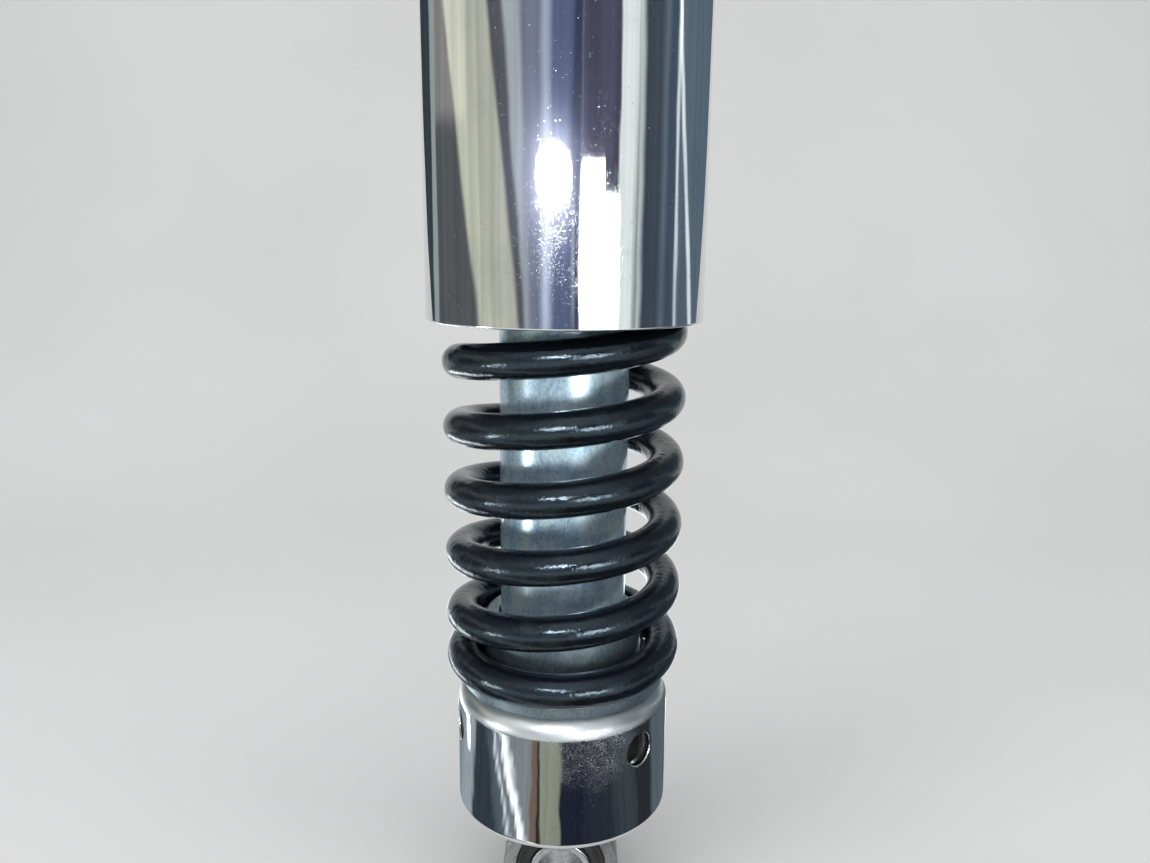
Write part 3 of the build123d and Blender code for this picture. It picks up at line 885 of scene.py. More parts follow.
wall_rows = hole_z + np.linspace(-block_half_height, block_half_height, block_rows + 1)
inner_wall_r = cup_r - cup_wall
cup_outline = rounded([
    (cup_r, cup_low, cup_lip), (cup_r, cup_high, cup_shoulder), (seat_bore, cup_high, 0.3 * MM),
    (seat_bore, cup_high - cup_wall, 0.3 * MM),
    (inner_wall_r, cup_high - cup_wall, cup_shoulder - cup_wall),
    (inner_wall_r, cup_low + cup_wall, cup_lip - cup_wall), (cup_lip_inner, cup_low + cup_wall, 0.3 * MM),
    (cup_lip_inner, cup_low, 0.6 * MM),
])
cup_outline = add_rows(add_rows(cup_outline, cup_r, wall_rows), inner_wall_r, wall_rows)
print("cup outline has", len(cup_outline), "points")

# %% [markdown]
# ## The patch round a hole
# A punched hole has a small rounded edge on both sides of the sheet. Each ring of the patch is a blend of
# two closed curves: the block's border, where the patch has to meet the wall's own points, and the hole's
# circle. On the outer skin the blend goes from border to circle, the circle then follows the edge and the
# wall's thickness, and on the inner skin it goes back to the border. The bend of the wall is put in last,
# so that both skins lie exactly on their cylinders. A Bevel modifier on a cut edge can't promise that.
# %% Patch round a spanner hole


def block_border():
    """Angle and height of the grid points on the border of a block, going once round it."""
    step = FULL_TURN / cup_columns
    across_steps = np.arange(-block_half_columns, block_half_columns)
    along = across_steps * step
    rise = wall_rows[:-1]
    low, high, side = wall_rows[0], wall_rows[-1], block_half_columns * step
    a = np.concatenate([along, np.full(block_rows, side), -along, np.full(block_rows, -side)])
    z = np.concatenate([np.full(len(along), low), rise, np.full(len(along), high), 2 * hole_z - rise])
    return a, z


def hole_patch():
    """Rings from the outer border to the hole, through the wall, and to the inner border.

    In the plane that touches the wall, a ring is (1 - w) border + w q (cos t, sin t), with t the direction
    of the border point. The third coordinate is sqrt(R^2 - y^2), with R falling from the outer to the
    inner radius of the wall. On the outer skin w is a power below 1, so that rings crowd near the hole.
    """
    a, z = block_border()
    height = z - hole_z
    t = np.arctan2(height, cup_r * np.sin(a))
    bend, fade = np.linspace(0, math.pi / 2, rim_steps), np.linspace(0, 1, blend_rows)
    rim_q = hole_r + hole_edge * (1 - np.sin(bend))
    rim_depth = hole_edge * (1 - np.cos(bend))
    wide = np.full(blend_rows, hole_r + hole_edge)
    deep = np.full(blend_rows - 1, cup_wall)
    q = np.concatenate([wide, rim_q[1:], rim_q[::-1], wide[1:]])
    w = np.concatenate([fade ** crowding, np.ones(2 * rim_steps - 1), fade[-2::-1]])
    depth = np.concatenate([0 * fade, rim_depth[1:], cup_wall - rim_depth[::-1], deep])
    big = cup_r - depth[:, None]
    y = (1 - w[:, None]) * big * np.sin(a) + (w * q)[:, None] * np.cos(t)
    up = (1 - w[:, None]) * height + (w * q)[:, None] * np.sin(t)
    return np.stack([np.sqrt(big ** 2 - y ** 2), y, hole_z + up], axis=-1)


patch = hole_patch()
print("patch of", patch.shape[0], "rings with", patch.shape[1], "points each")

# %% [markdown]
# ## Wall and patches in one mesh
# The wall loses its blocks, and each hole gets a copy of the patch, turned to its place. Border and wall
# have the same points there, so merging what lies on each other closes the seams, and the points left
# over inside a block are dropped. Linked copies would be lighter, but a bright skin shows every seam that
# isn't welded. The count of open edges tells that the cup is closed.
# %% Join wall and patches
weld_reach = 1e-6


def turn_about_z(points, angle):
    """Points turned about Z by an angle: (c x - s y, s x + c y, z), with c its cosine and s its sine."""
    c, s = math.cos(angle), math.sin(angle)
    return np.stack([c * points[..., 0] - s * points[..., 1], s * points[..., 0] + c * points[..., 1],
                     points[..., 2]], axis=-1)


def cup_mesh():
    """The cup's grid without its blocks, and one patch for each hole, joined where they meet."""
    angles = hole_angles[0] + np.arange(cup_columns) * FULL_TURN / cup_columns
    points = turned_points(cup_outline, angles)
    rows, columns = points.shape[:2]
    quads = grid_faces(rows, columns, True, True)
    row, column = np.divmod(quads[:, 0], columns)
    r, z = cup_outline[:, 0], cup_outline[:, 1]
    after = np.roll(np.arange(rows), -1)
    wall = (np.isclose(r, cup_r) | np.isclose(r, inner_wall_r)) & np.isclose(r, r[after])
    within = wall & (np.abs((z + z[after]) / 2 - hole_z) < block_half_height)
    apart = cup_columns // hole_count
    from_hole = (column + apart // 2) % apart - apart // 2
    cut = within[row] & (from_hole >= -block_half_columns) & (from_hole < block_half_columns)
    all_points, all_quads = [points.reshape(-1, 3)], [quads[~cut]]
    start = points.shape[0] * columns
    for angle in hole_angles:
        all_points.append(turn_about_z(patch, angle).reshape(-1, 3))
        all_quads.append(grid_faces(patch.shape[0], patch.shape[1], False, True, start))
        start += patch.shape[0] * patch.shape[1]
    return make_mesh("adjuster_cup_shell", np.vstack(all_points), np.vstack(all_quads))


def weld(piece):
    """Merges points that lie on each other, drops points that no face uses and counts open edges."""
    work = bmesh.new()
    work.from_mesh(piece.data)
    bmesh.ops.remove_doubles(work, verts=work.verts, dist=weld_reach)
    bmesh.ops.delete(work, geom=[v for v in work.verts if not v.link_faces], context="VERTS")
    open_edges = sum(1 for e in work.edges if len(e.link_faces) != 2)
    work.to_mesh(piece.data)
    work.free()
    return open_edges


cup = cup_mesh()
print("open edges of the cup:", weld(cup))
fit(cup, "cup", "lower", "adjuster_cup")

# %% [markdown]
# ## The stepped cam
# Inside the cup a ring with a stepped lower edge rests on two lugs. Turning the cup lets the lugs into
# another notch and presses the spring more or less. Wedges could be cut from a ring, but the cam's lower
# edge is simpler as a height for each angle: a staircase of five steps that comes twice round.
# %% Stepped cam
cam_r, cam_low, cam_high = round_size("preload_cam")
cam_base_height = 7.5 * MM
cam_seat = cam_high - cam_base_height
notch = 36.0
cam_ramp = 1.6
first_notch = -25.0


def cam_edge(degrees):
    """Height of the cam's lower edge: five steps of 36 degrees, twice round, with short slopes between."""
    step = (cam_seat - cam_low) / 4
    knots = np.repeat(np.arange(6) * notch, 2) + np.tile([-cam_ramp / 2, cam_ramp / 2], 6)
    levels = cam_seat - step * np.array([4, 0, 0, 1, 1, 2, 2, 3, 3, 4, 4, 0])
    return np.interp((degrees - first_notch) % 180, knots, levels)


def waved_ring(name, outline, segments, radius_wave, low_wave, high_wave):
    """A turned ring whose outer radius, lower edge and upper edge each move with the angle.

    Outline points outside the middle radius get the radius wave, those below the middle height the low
    wave, and those above it the high wave.
    """
    a = np.arange(segments) * FULL_TURN / segments
    degrees = np.degrees(a)
    r, z = outline[:, 0, None], outline[:, 1, None]
    outer = r > (r.max() + r.min()) / 2
    lower = z < (z.max() + z.min()) / 2
    radius = r + outer * radius_wave(degrees)
    height = z + np.where(lower, low_wave(degrees), high_wave(degrees))
    points = np.stack([radius * np.cos(a), radius * np.sin(a), height + 0 * a], axis=-1)
    return make_mesh(name, points.reshape(-1, 3), grid_faces(len(outline), segments, True, True))


def still(degrees):
    """No movement at any angle."""
    return 0 * degrees


cam_outline = rounded([
    (cam_r, cam_low, 0.3 * MM), (cam_r, cam_high, 0.4 * MM),
    (seat_bore, cam_high, 0.3 * MM), (seat_bore, cam_low, 0.3 * MM),
])
cam = waved_ring("preload_steps", cam_outline, 720, still, lambda d: cam_edge(d) - cam_low, still)
cam.data.set_sharp_from_angle(angle=math.radians(40))
fit(cam, "cam", "lower", "preload_cam")

# %% [markdown]
# ## The stop collar
# The collar sits on the tube, and its two lugs carry the cam. They could be blocks set on a ring. As a
# wave in the ring's own radius and height they grow out of it in one skin, as on a forging.
# %% Stop collar with its two lugs
stop_ring_r, lug_r = 18.6 * MM, cam_r - 0.3 * MM
ring_low, ring_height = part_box("stop_collar")[0].z, 2.6 * MM
lug_gap = 0.1 * MM
lug_top = cam_seat - lug_gap
lug_width, lug_slope = 22.0, 0.8


def lug_share(degrees):
    """1 within a lug and 0 elsewhere, twice round.

    It is (half width - distance from the lug's middle) / slope + 1/2, held between 0 and 1.
    """
    half = lug_width / 2
    middle = first_notch + notch / 2
    off = (degrees - middle + 90) % 180 - 90
    return np.clip((half - np.abs(off)) / lug_slope + 0.5, 0, 1)


ring_top, ring_bore = ring_low + ring_height, tube_r + fit_gap
ring_outline = rounded([
    (stop_ring_r, ring_low, 0.3 * MM), (stop_ring_r, ring_top, 0.3 * MM),
    (ring_bore, ring_top, 0.2 * MM), (ring_bore, ring_low, 0.2 * MM),
])
stop = waved_ring(
    "preload_stop", ring_outline, 900,
    lambda d: (lug_r - stop_ring_r) * lug_share(d), still,
    lambda d: (lug_top - ring_top) * lug_share(d),
)
stop.data.set_sharp_from_angle(angle=math.radians(40))
fit(stop, "forging", "lower", "stop_collar")

# %% [markdown]
# ## The eyes
# Each eye is a forged ring across the unit, on a round neck. Where two cylinders meet, a forging has a
# hollow fillet. A Boolean and a Bevel modifier might find it, but it can be worked out exactly: a ball
# rolls along both cylinders, its centre keeps the ball's radius from each of them, and the skin is the
# short arc between the two points that it touches. The neck's grid ends with that arc and then dives
# into the ring's own material.
# %% Neck with a rolling-ball fillet
neck_r, fillet_r = 9.5 * MM, 1.6 * MM
bush_r = 11.5 * MM
eye_segments = 192


def neck_rows(stem, angles):
    """Rows of a neck below an eye at the origin: stem outline, fillet arc, and a close inside the ring.

    Ball centre: (n + f)(cos a, sin a) and height -sqrt((R + f)^2 - x^2), with neck radius n, ball radius f
    and ring radius R. It touches the neck at n (cos a, sin a) and the ring at R / (R + f) of x and z.
    """
    c, s = np.cos(angles), np.sin(angles)
    x, y = (neck_r + fillet_r) * c, (neck_r + fillet_r) * s
    z = -np.sqrt((eye_r + fillet_r) ** 2 - x ** 2)
    centre = np.stack([x, y, z], axis=-1)
    on_neck = np.stack([neck_r * c, neck_r * s, z], axis=-1)
    share = eye_r / (eye_r + fillet_r)
    on_ring = np.stack([x * share, y, z * share], axis=-1)
    a, b = on_neck - centre, on_ring - centre
    w = np.arccos(np.clip((a * b).sum(-1) / fillet_r ** 2, -1, 1))[:, None]
    t = np.linspace(0, 1, 9)[:, None, None]
    arc = centre + (a * np.sin((1 - t) * w) + b * np.sin(t * w)) / np.sin(w)
    inside_r = (eye_r + bush_r) / 2
    shrink = np.array([0.97, 0.6, 0.2])[:, None]
    ix, iy = on_ring[:, 0] * shrink, on_ring[:, 1] * shrink
    inside = np.stack([ix, iy, -np.sqrt(inside_r ** 2 - ix ** 2)], axis=-1)
    stem_part = turned_points(stem, angles)
    return np.concatenate([stem_part, arc, inside]), -inside_r


def eye_piece(name, stem, centre_z, upside_down):
    """Ring and neck as one object; the lower eye is the same form turned over about Y."""
    angles = np.arange(eye_segments) * FULL_TURN / eye_segments
    rows, pole_z = neck_rows(stem[1:], angles)
    ring_outline = rounded([
        (bush_r, -eye_half_width, 0.4 * MM), (eye_r, -eye_half_width, 0.8 * MM),
        (eye_r, eye_half_width, 0.8 * MM), (bush_r, eye_half_width, 0.4 * MM),
    ])
    ring = turned_points(ring_outline, angles)
    ring = np.stack([ring[..., 0], ring[..., 2], -ring[..., 1]], axis=-1)
    neck_count, ring_count = rows.shape[0] * eye_segments, ring.shape[0] * eye_segments
    poles = np.array([[0, 0, stem[0, 1]], [0, 0, pole_z]])
    points = np.vstack([rows.reshape(-1, 3), ring.reshape(-1, 3), poles])
    if upside_down:
        points = points * [-1, 1, -1]
    points = points + [0, 0, centre_z]
    quads = np.vstack([
        grid_faces(rows.shape[0], eye_segments, False, True),
        grid_faces(ring.shape[0], eye_segments, True, True, neck_count),
    ])
    around = np.arange(eye_segments)
    fans = np.vstack([
        fan_faces(neck_count + ring_count, around, False),
        fan_faces(neck_count + ring_count + 1, around + neck_count - eye_segments, True),
    ])
    return make_mesh(name, points, quads, fans)


foot_r, foot_top = 13.5 * MM, foot_low + 5.0 * MM
stem_top = foot_top + 6.0 * MM
bore_top = rod_top + fit_gap
upper_stem = rounded([
    (0, bore_top, 0), (rod_hole_r, bore_top, 0.3 * MM), (rod_hole_r, foot_low, 0.3 * MM),
    (foot_r, foot_low, 0.3 * MM), (foot_r, foot_top, 0.8 * MM),
    (neck_r, foot_top, 1.5 * MM), (neck_r, stem_top, 0),
], closed=False)
fit(eye_piece("eye_forging_top", upper_stem, 0.0, False), "eye", "upper", "upper_eye")

# %% [markdown]
# ## The lower eye
# The lower eye and the base that holds the tube are one forging. It could be modelled anew, but it is the
# upper eye turned over with another stem: a wide base and a socket in place of the foot.
# %% Lower eye with its socket
base_r, base_low, base_high = 18.6 * MM, 17.0 * MM, 25.5 * MM
socket_r, socket_low = tube_r + fit_gap, 21.5 * MM
lower_stem = rounded([
    (0, -socket_low, 0), (socket_r, -socket_low, 0.3 * MM), (socket_r, -base_high, 0.3 * MM),
    (base_r, -base_high, 0.6 * MM), (base_r, -base_low, 1.4 * MM), (neck_r, -base_low, 0.15 * MM),
    (neck_r, -base_low + 0.35 * MM, 0),
], closed=False)
fit(eye_piece("eye_forging_low", lower_stem, lower_eye_z, True), "forging", "lower", "lower_eye")

# %% [markdown]
# ## Bushes and sleeves
# A rubber bush is pressed into each eye, and a steel sleeve inside it takes the bolt. Rubber bulges a
# little out of the eye and sinks again towards the sleeve. A tube with flat ends would look like plastic,
# so the end faces follow a squared sine wave. Upper and lower pair are alike and come from one loop.
# %% Bushes and sleeves
bush_outer, bush_inner, bush_half = 11.45 * MM, 8.05 * MM, 12.8 * MM
bush_dish, bush_edge = 0.55 * MM, 0.3 * MM
sleeve_r, sleeve_bore, sleeve_half = 8.0 * MM, 6.1 * MM, 14.0 * MM


def bush_outline():
    """A ring's outline: its end faces sink by dish sin^2(pi t) between the edges t = 0 and t = 1.

    Both edges are rounded off by edge (1 - sin(pi t))^6.
    """
    t = np.linspace(0, 1, 15)
    r = bush_outer + (bush_inner - bush_outer) * t
    wave = np.sin(math.pi * t)
    face = bush_half - bush_dish * wave ** 2 - bush_edge * (1 - wave) ** 6
    top = np.column_stack([r, face])
    bottom = np.column_stack([r[::-1], -face[::-1]])
    return np.vstack([top, bottom])


sleeve_outline = rounded([
    (sleeve_r, -sleeve_half, 0.4 * MM), (sleeve_r, sleeve_half, 0.4 * MM),
    (sleeve_bore, sleeve_half, 0.4 * MM), (sleeve_bore, -sleeve_half, 0.4 * MM),
])
for where, body, centre_z in (("upper", "upper", upper_eye_z), ("lower", "lower", lower_eye_z)):
    bush = across("bush_" + where, bush_outline(), centre_z)
    fit(bush, "rubber", body, where + "_bush")
    sleeve = across("sleeve_" + where, sleeve_outline, centre_z, 160)
    fit(sleeve, "sleeve", body, where + "_sleeve")

# %% [markdown]
# ## Floor and backdrop
# A pale sheet of paper lies under the unit and curves up behind it, as in a small studio. Two planes would
# meet in a line, so a quarter circle joins floor and wall and no horizon shows. The paper is matt, so it
# lights the unit softly from below and keeps no mirror image of it.
# %% Paper sweep
paper_low = cad_low.z - 0.5 * MM
paper_back, paper_front, paper_high = 0.75, -1.4, 1.3
bend_r = 0.45
paper_half_width = 1.8


def paper_sweep():
    """A profile of floor, quarter circle and wall, carried along X."""
    t = np.linspace(0, math.pi / 2, 24)
    y = np.concatenate([[paper_front, -0.4, 0.0], paper_back - bend_r + bend_r * np.sin(t), [paper_back]])
    z = np.concatenate([[0, 0, 0], bend_r - bend_r * np.cos(t), [paper_high]]) + paper_low
    x = np.linspace(-paper_half_width, paper_half_width, 9)
    points = np.stack(np.broadcast_arrays(x[None, :], y[:, None], z[:, None]), axis=-1)
    return make_mesh("paper_sweep", points.reshape(-1, 3), grid_faces(len(y), len(x), False, False))


def paper_finish():
    """Pale matt paper with a faint unevenness of tone."""
    f = Finish("pale_paper", metallic=0.0, roughness=0.85, specular_ior_level=0.0)
    tone = f.ramp(f.noise(3.0, 3.0, 0.5), 0.3, 0.7)
    f.shine(base_color=f.mix(tone, (0.70, 0.70, 0.69, 1), (0.74, 0.74, 0.735, 1)))
    return f.material


paper = paper_sweep()
paper.data.materials.append(paper_finish())
print("paper lies at", round(paper_low / MM, 1), "mm")

# %% [markdown]
# ## What the plating mirrors
# A mirror has no look of its own: it shows the room. In an empty white room the cover would vanish. So
# photographers stand dark and light cards round a bright object. Here the cards are one surface round the
# unit, a floor that turns up into a wall and closes with a pale ceiling, painted in upright bands: dark at
# the left, warm white, grey, dark blue behind the camera, white, dark again. Only mirrored rays see it, so
# it gives no light of its own to matt pieces and no shadow. The cup is seen from above and mirrors the
# floor near its foot, its round shoulder mirrors the ceiling, and the cover mirrors the wall, so floor and
# wall have bands of their own and one runs over into the other.
#
# A list of bands is easier to tune than painted pixels: each band has the direction where it starts, how
# soft that edge is, how much it leans, and its tone. Directions are degrees to the right of the camera.
# %% Bands of the mirrored room
room_r, room_foot, room_top = 0.85, 0.050, 0.75
room_columns, floor_rows, wall_rows_up, ceiling_rows = 720, 30, 110, 12
room_low = cad_low.z - 0.2 * MM

# Each band of both tables: direction, softness and lean in degrees, tone.
wall_bands = (
    (-180, 1, 0, (1.40, 1.50, 1.55)),
    (-172, 5, 0, (0.040, 0.060, 0.070)),
    (-127, 3, 0, (0.30, 0.34, 0.34)),
    (-118, 3, 0, (0.105, 0.115, 0.120)),
    (-79, 5, -107, (0.60, 0.62, 0.50)),
    (-62, 14, -90, (0.53, 0.54, 0.46)),
    (-42, 4, -72, (0.100, 0.105, 0.120)),
    (-35, 4, -50, (0.42, 0.46, 0.50)),
    (-29, 6, -20, (0.20, 0.22, 0.30)),
    (-18, 6, 0, (0.36, 0.42, 0.54)),
    (-9, 5, 0, (0.10, 0.13, 0.23)),
    (6, 4, 0, (0.055, 0.065, 0.120)),
    (13, 2, 0, (1.00, 1.00, 1.00)),
    (34, 2, 0, (0.74, 0.80, 0.78)),
    (37, 2, 0, (0.92, 1.00, 0.97)),
    (54, 5, 10, (0.30, 0.35, 0.36)),
    (57, 3, 0, (0.60, 0.68, 0.68)),
    (60, 5, 0, (0.055, 0.072, 0.095)),
    (78, 8, 0, (0.13, 0.17, 0.22)),
    (84, 6, 0, (0.07, 0.10, 0.145)),
    (95, 2, -10, (0.62, 0.70, 0.72)),
    (98.5, 2, -10, (0.10, 0.14, 0.18)),
    (109, 2.5, -70, (0.80, 0.90, 0.92)),
    (114, 2.5, -80, (0.11, 0.16, 0.20)),
    (142, 20, 0, (0.075, 0.115, 0.15)),
    (172, 5, 0, (1.40, 1.50, 1.55)),
)
floor_bands = (
    (-180, 1, 0, (2.20, 2.40, 2.50)),
    (-152, 8, 0, (0.24, 0.30, 0.33)),
    (-122, 12, 0, (0.36, 0.43, 0.46)),
    (-98, 6, 0, (0.038, 0.052, 0.066)),
    (-48, 10, -100, (0.10, 0.13, 0.15)),
    (-38.5, 2.5, -100, (0.85, 0.92, 1.00)),
    (-35.5, 2.5, -100, (0.20, 0.23, 0.26)),
    (-26.5, 3, -103, (1.60, 1.70, 1.75)),
    (-21, 5, -100, (0.25, 0.28, 0.29)),
    (-29, 3, 0, (0.17, 0.125, 0.100)),
    (-22, 2, 0, (0.030, 0.030, 0.026)),
    (-17, 3, -6, (0.29, 0.32, 0.25)),
    (-3, 3, 12, (0.016, 0.020, 0.036)),
    (24, 20, 0, (0.024, 0.032, 0.046)),
    (52, 14, 0, (0.045, 0.060, 0.068)),
    (76, 5, 0, (0.024, 0.029, 0.036)),
    (102, 8, 0, (0.10, 0.13, 0.15)),
    (152, 8, 0, (2.20, 2.40, 2.50)),
)


def banded(bands, degrees, along):
    """Colour for each direction: band tones joined by soft steps 3 t^2 - 2 t^3.

    The edge of a band stands at its own direction plus its lean times along, which is the height in metres
    on the wall and the place on a spoke, from 0 to 1, on the floor.
    """
    colour = np.broadcast_to(np.array(bands[0][3]), degrees.shape + (3,)).copy()
    for last, (edge, soft, lean, tone) in zip(bands, bands[1:]):
        t = np.clip((degrees - edge - lean * along) / soft + 0.5, 0, 1)[..., None]
        colour += (3 * t ** 2 - 2 * t ** 3) * (np.array(tone) - np.array(last[3]))
    return colour


print("bands on the wall:", len(wall_bands), "and on the floor:", len(floor_bands))

# %% [markdown]
# ## The room's wall
# The white band at the right is a window, far brighter than white paper. On plating it only looks white,
# but on black paint, which mirrors a twentieth of the light, it shows as well. It ends below the sill of
# a darker field, one step lower on its right part. The glare round the flash is a soft round glow, and
# three fainter glows fill the dark bands beside it. Lamps that only glossy rays see could give all of
# these, but a tone on the room is easier to make soft, leaning or stepped.
# %% Tones of the wall
window_from, window_step, window_to = 12.5, 30.0, 41.0
window_low, window_high, window_high_right = -0.30, -0.066, -0.105
window_gain = 12.0
over_window = (0.085, 0.085, 0.135)
left_field_from, left_field_to, left_field_low = -118, -80, -0.02
left_field = (0.17, 0.16, 0.14)
mirrored_low, mirrored_high = -0.265, 0.18
room_tint = np.array([0.94, 1.0, 0.98])

# Each glow: direction and width in degrees, height and reach in metres, tone.
wall_glows = (
    (-9, 14, -0.075, 0.044, (0.80, 0.85, 1.00)),
    (-9, 26, -0.075, 0.075, (0.20, 0.22, 0.34)),
    (-13, 3.5, -0.19, 0.06, (0.22, 0.27, 0.33)),
    (7, 1.6, -0.17, 0.07, (0.40, 0.45, 0.55)),
)


def soft_step(value, edge, soft):
    """0 below an edge and 1 above it, along 3 t^2 - 2 t^3."""
    t = np.clip((value - edge) / soft + 0.5, 0, 1)
    return 3 * t ** 2 - 2 * t ** 3


def stripe(value, low, low_soft, high, high_soft):
    """1 between two edges and 0 beyond them, each edge with its own softness."""
    return soft_step(value, low, low_soft) * (1 - soft_step(value, high, high_soft))


def streaks(degrees, width, seed):
    """Uneven tone round the room: seeded random values within a quarter, joined by straight lines."""
    values = np.random.default_rng(seed).uniform(-0.25, 0.25, int(360 / width))
    values[-1] = values[0]
    return np.interp(degrees, np.linspace(-180, 180, len(values)), values)


def glow(degrees, z, middle, width, centre, reach):
    """exp(-((d - middle) / width)^2 - ((z - centre) / reach)^2), with one more axis for colour."""
    return np.exp(-((degrees - middle) / width) ** 2 - ((z - centre) / reach) ** 2)[..., None]


def behind(degrees):
    """1 behind the unit and 0 in front of it."""
    return soft_step(np.abs(degrees), 145, 30)[..., None]


def pale_below(degrees):
    """Tone of the low wall and the far floor: exp(-(d / 88)^4) in front, some of it behind."""
    in_front = np.exp(-(degrees / 88) ** 4)[..., None]
    return (0.10 + 0.95 * in_front + 0.35 * behind(degrees)) * room_tint


def pale_above(degrees):
    """Tone of the high wall and the ceiling: exp(-((d - 4) / 58)^2) in front, some of it behind."""
    in_front = np.exp(-((degrees - 4) / 58) ** 2)[..., None]
    return (0.10 + 0.75 * in_front + 0.40 * behind(degrees)) * room_tint


def wall_colours(degrees, z):
    """Wall bands with window, left field, glows and streaks; pale above and below what the cover mirrors."""
    wall = banded(wall_bands, degrees, z - camera_place[2])
    top = np.where(degrees < window_step, window_high, window_high_right)
    in_window = stripe(degrees, window_from, 2, window_to, 2)
    above = (in_window * soft_step(z, top, 0.010))[..., None]
    lit = (in_window * (1 - soft_step(z, top, 0.010)) * soft_step(z, window_low, 0.03))[..., None]
    wall = wall * (1 - above) + above * np.array(over_window)
    wall = wall * (1 + (window_gain - 1) * lit)
    left_high = stripe(degrees, left_field_from, 3, left_field_to, 8) * soft_step(z, left_field_low, 0.03)
    wall = wall + left_high[..., None] * np.array(left_field)
    for *place, tone in wall_glows:
        wall = wall + glow(degrees, z, *place) * np.array(tone)
    wall = wall * (1 + 0.4 * streaks(degrees, 1.1, 5) + 0.6 * streaks(degrees, 4.0, 6))[..., None]
    high = soft_step(z, mirrored_high, 0.12)[..., None]
    low = 1 - soft_step(z, mirrored_low, 0.02)[..., None]
    return wall * (1 - high - low) + high * pale_above(degrees) + low * pale_below(degrees)


print("the window is", window_gain, "times as bright as white paper")

# %% [markdown]
# ## The room's floor
# The floor is what the cup mirrors. Its place along a spoke is s, from 0 at the unit's foot to 1 at the
# wall, so that the bands run outwards like spokes too. A narrow bright strip lies at the left: the cup
# shows it as a short upright line, and each coil bends it into a small curve at its left end. A flat
# picture could be laid on the floor, but tones worked out for each point need no image, and they run over
# into the wall without a seam.
# %% Tones of the floor, and the room's mesh
strip_direction, strip_lean, strip_half_width = -87, -80, 3
strip_from, strip_to, strip_gain = 0.27, 0.84, 10


def floor_colours(degrees, s):
    """Floor bands near the foot, pale past s = 0.5 in front, with streaks and the narrow bright strip."""
    floor = banded(floor_bands, degrees, s)
    front = np.exp(-(degrees / 90) ** 4)[..., None]
    far = soft_step(s, 0.50, 0.16)[..., None] * front
    floor = floor * (1 - far) + far * pale_below(degrees)
    floor = floor * (1 + 0.6 * streaks(degrees, 2.0, 7))[..., None]
    off = degrees - strip_direction - strip_lean * s
    strip = stripe(off, -strip_half_width, 2, strip_half_width, 2)
    return floor + (strip * stripe(s, strip_from, 0.04, strip_to, 0.08))[..., None] * strip_gain


def room_colours(degrees, s, z):
    """Floor tones near the foot run over softly into the wall's tones, before s = 1 at the wall's foot."""
    share = soft_step(s, 0.72, 0.44)[..., None]
    wall = wall_colours(degrees, z)
    floor = floor_colours(degrees, s)
    return floor * (1 - share) + wall * share


def mirrored_room():
    """Rows of r along the floor, of z up the wall and of r back over the ceiling, each turned about Z."""
    floor_s = np.linspace(0, 1, floor_rows)
    inwards = np.linspace(room_r, 0.02, ceiling_rows + 1)[1:]
    outwards = room_foot * (room_r / room_foot) ** floor_s
    r = np.concatenate([outwards, np.full(wall_rows_up, room_r), inwards])
    upwards = np.linspace(room_low, room_top, wall_rows_up + 1)[1:]
    z = np.concatenate([np.full(floor_rows, room_low), upwards, np.full(ceiling_rows, room_top)])
    s = np.concatenate([floor_s, np.ones(wall_rows_up + ceiling_rows)])
    degrees = np.arange(room_columns) * 360.0 / room_columns - 180
    d = np.radians(degrees)
    sides = r[:, None] * np.sin(d), -r[:, None] * np.cos(d), z[:, None]
    points = np.stack(np.broadcast_arrays(*sides), axis=-1).reshape(-1, 3)
    room = make_mesh("mirrored_room", points, grid_faces(len(r), room_columns, False, True))
    grid = np.broadcast_arrays(degrees[None, :], s[:, None], z[:, None])
    colour = np.clip(room_colours(*grid), 0, None).reshape(-1, 3)
    rgba = np.column_stack([colour, np.ones(len(colour))]).astype(np.float32)
    tones = room.data.color_attributes.new("tones", "FLOAT_COLOR", "POINT")
    tones.data.foreach_set("color", rgba.ravel())
    return room


def only_glow(name, attribute):
    """Black paint that gives off the colours of a mesh attribute."""
    f = Finish(name, specular_ior_level=0.0, emission_strength=1.0)
    f.put(f.shader.inputs["Base Color"], (0, 0, 0, 1))
    f.put(f.shader.inputs["Emission Color"], f.add("Attribute", attribute_name=attribute))
    f.material.cycles.emission_sampling = "NONE"
    return f.material


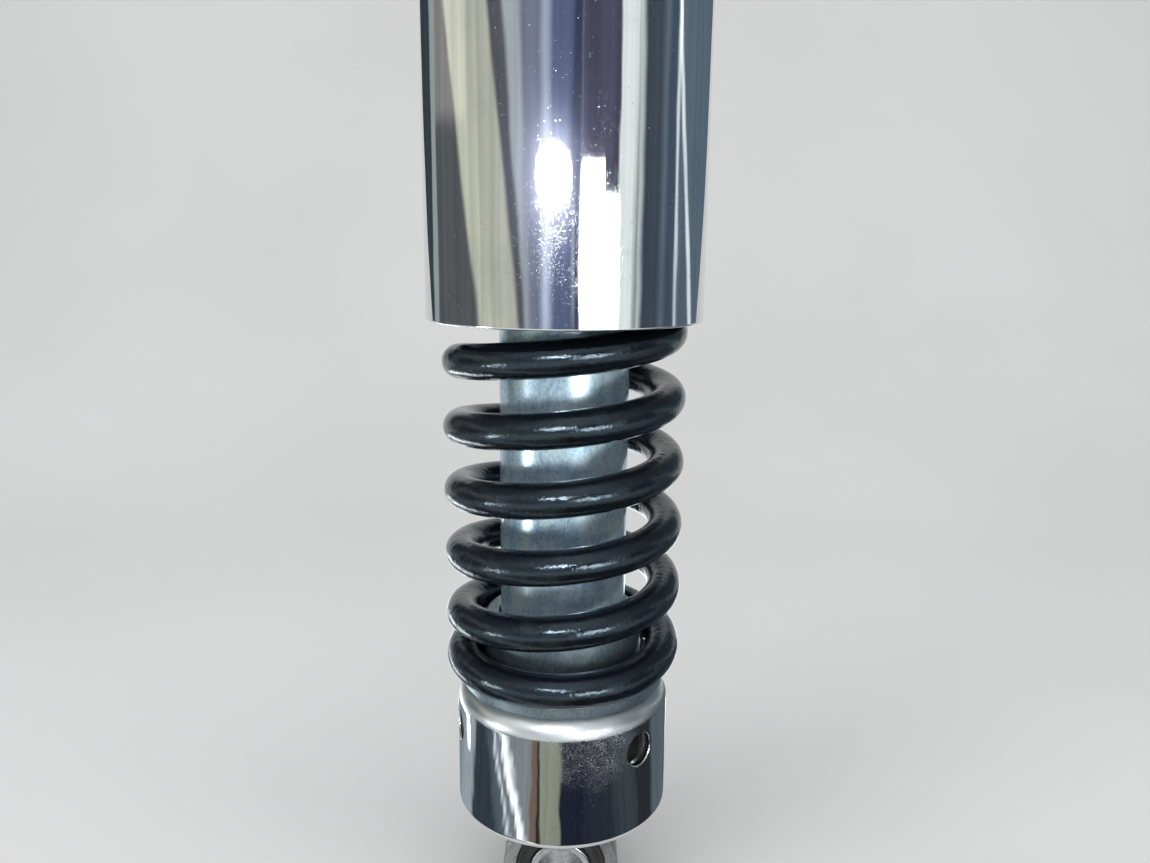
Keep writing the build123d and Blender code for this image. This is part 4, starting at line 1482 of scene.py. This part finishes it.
room = mirrored_room()
room.data.materials.append(only_glow("room_tones", "tones"))
for ray in ("camera", "diffuse", "shadow", "transmission", "volume_scatter"):
    setattr(room, "visible_" + ray, False)
print("mirrored room:", len(room.data.vertices), "points")

# %% [markdown]
# ## Lamps
# A large soft lamp overhead and a little in front lights the shoulders, two more light the sides, and a
# pale world gives the rest. Point lamps would be simpler, but only a lamp with a size gives soft shadows
# and a highlight with a shape. A small lamp beside the camera stands for the flash that the photograph was
# taken with: its mirror image is the bright spot on each round surface. A second small one, low at the
# left, puts the short bright curve on the left end of each coil. Both are seen by glossy surfaces alone.
# %% Lamps and room light


def soft_lamp(name, place, aim, size, power, height=None):
    """A square lamp at a place, turned towards a point; with a height it is an ellipse."""
    data = bpy.data.lights.new(name, "AREA")
    data.energy = power
    data.size = size
    if height:
        data.shape = "ELLIPSE"
        data.size_y = height
    lamp = bpy.data.objects.new(name, data)
    bpy.context.scene.collection.objects.link(lamp)
    back = unit(np.array(place) - np.array(aim))
    side = unit(np.cross([0.0, 1e-3, 1.0], back))
    turn = np.eye(4)
    turn[:3, :3] = np.column_stack([side, np.cross(back, side), back])
    turn[:3, 3] = place
    lamp.matrix_world = Matrix(turn)
    lamp.visible_camera = False
    return lamp


middle = (0.0, 0.0, -0.16)
soft_lamp("lamp_top", (0.0, -0.5, 1.05), middle, 1.1, 9.0)
soft_lamp("lamp_left", (-0.95, -0.75, 0.45), middle, 0.6, 5.0)
soft_lamp("lamp_right", (1.05, -0.55, 0.30), middle, 0.7, 3.0)
gloss_lamps = (
    soft_lamp("lamp_flash", (-0.031, -0.230, -0.116), (0, 0, -0.13), 0.110, 0.26, 0.020),
    soft_lamp("lamp_low_left", (-0.315, -0.145, -0.285), (0, 0, -0.19), 0.090, 0.16, 0.050),
)
for lamp in gloss_lamps:
    lamp.visible_diffuse = False
world = bpy.data.worlds.new("pale_room")
bpy.context.scene.world = world
world.use_nodes = True
world.node_tree.nodes["Background"].inputs["Color"].default_value = (0.92, 0.94, 0.97, 1)
world.node_tree.nodes["Background"].inputs["Strength"].default_value = 0.45
bpy.context.scene.view_settings.view_transform = "Standard"
print("lamps ready")
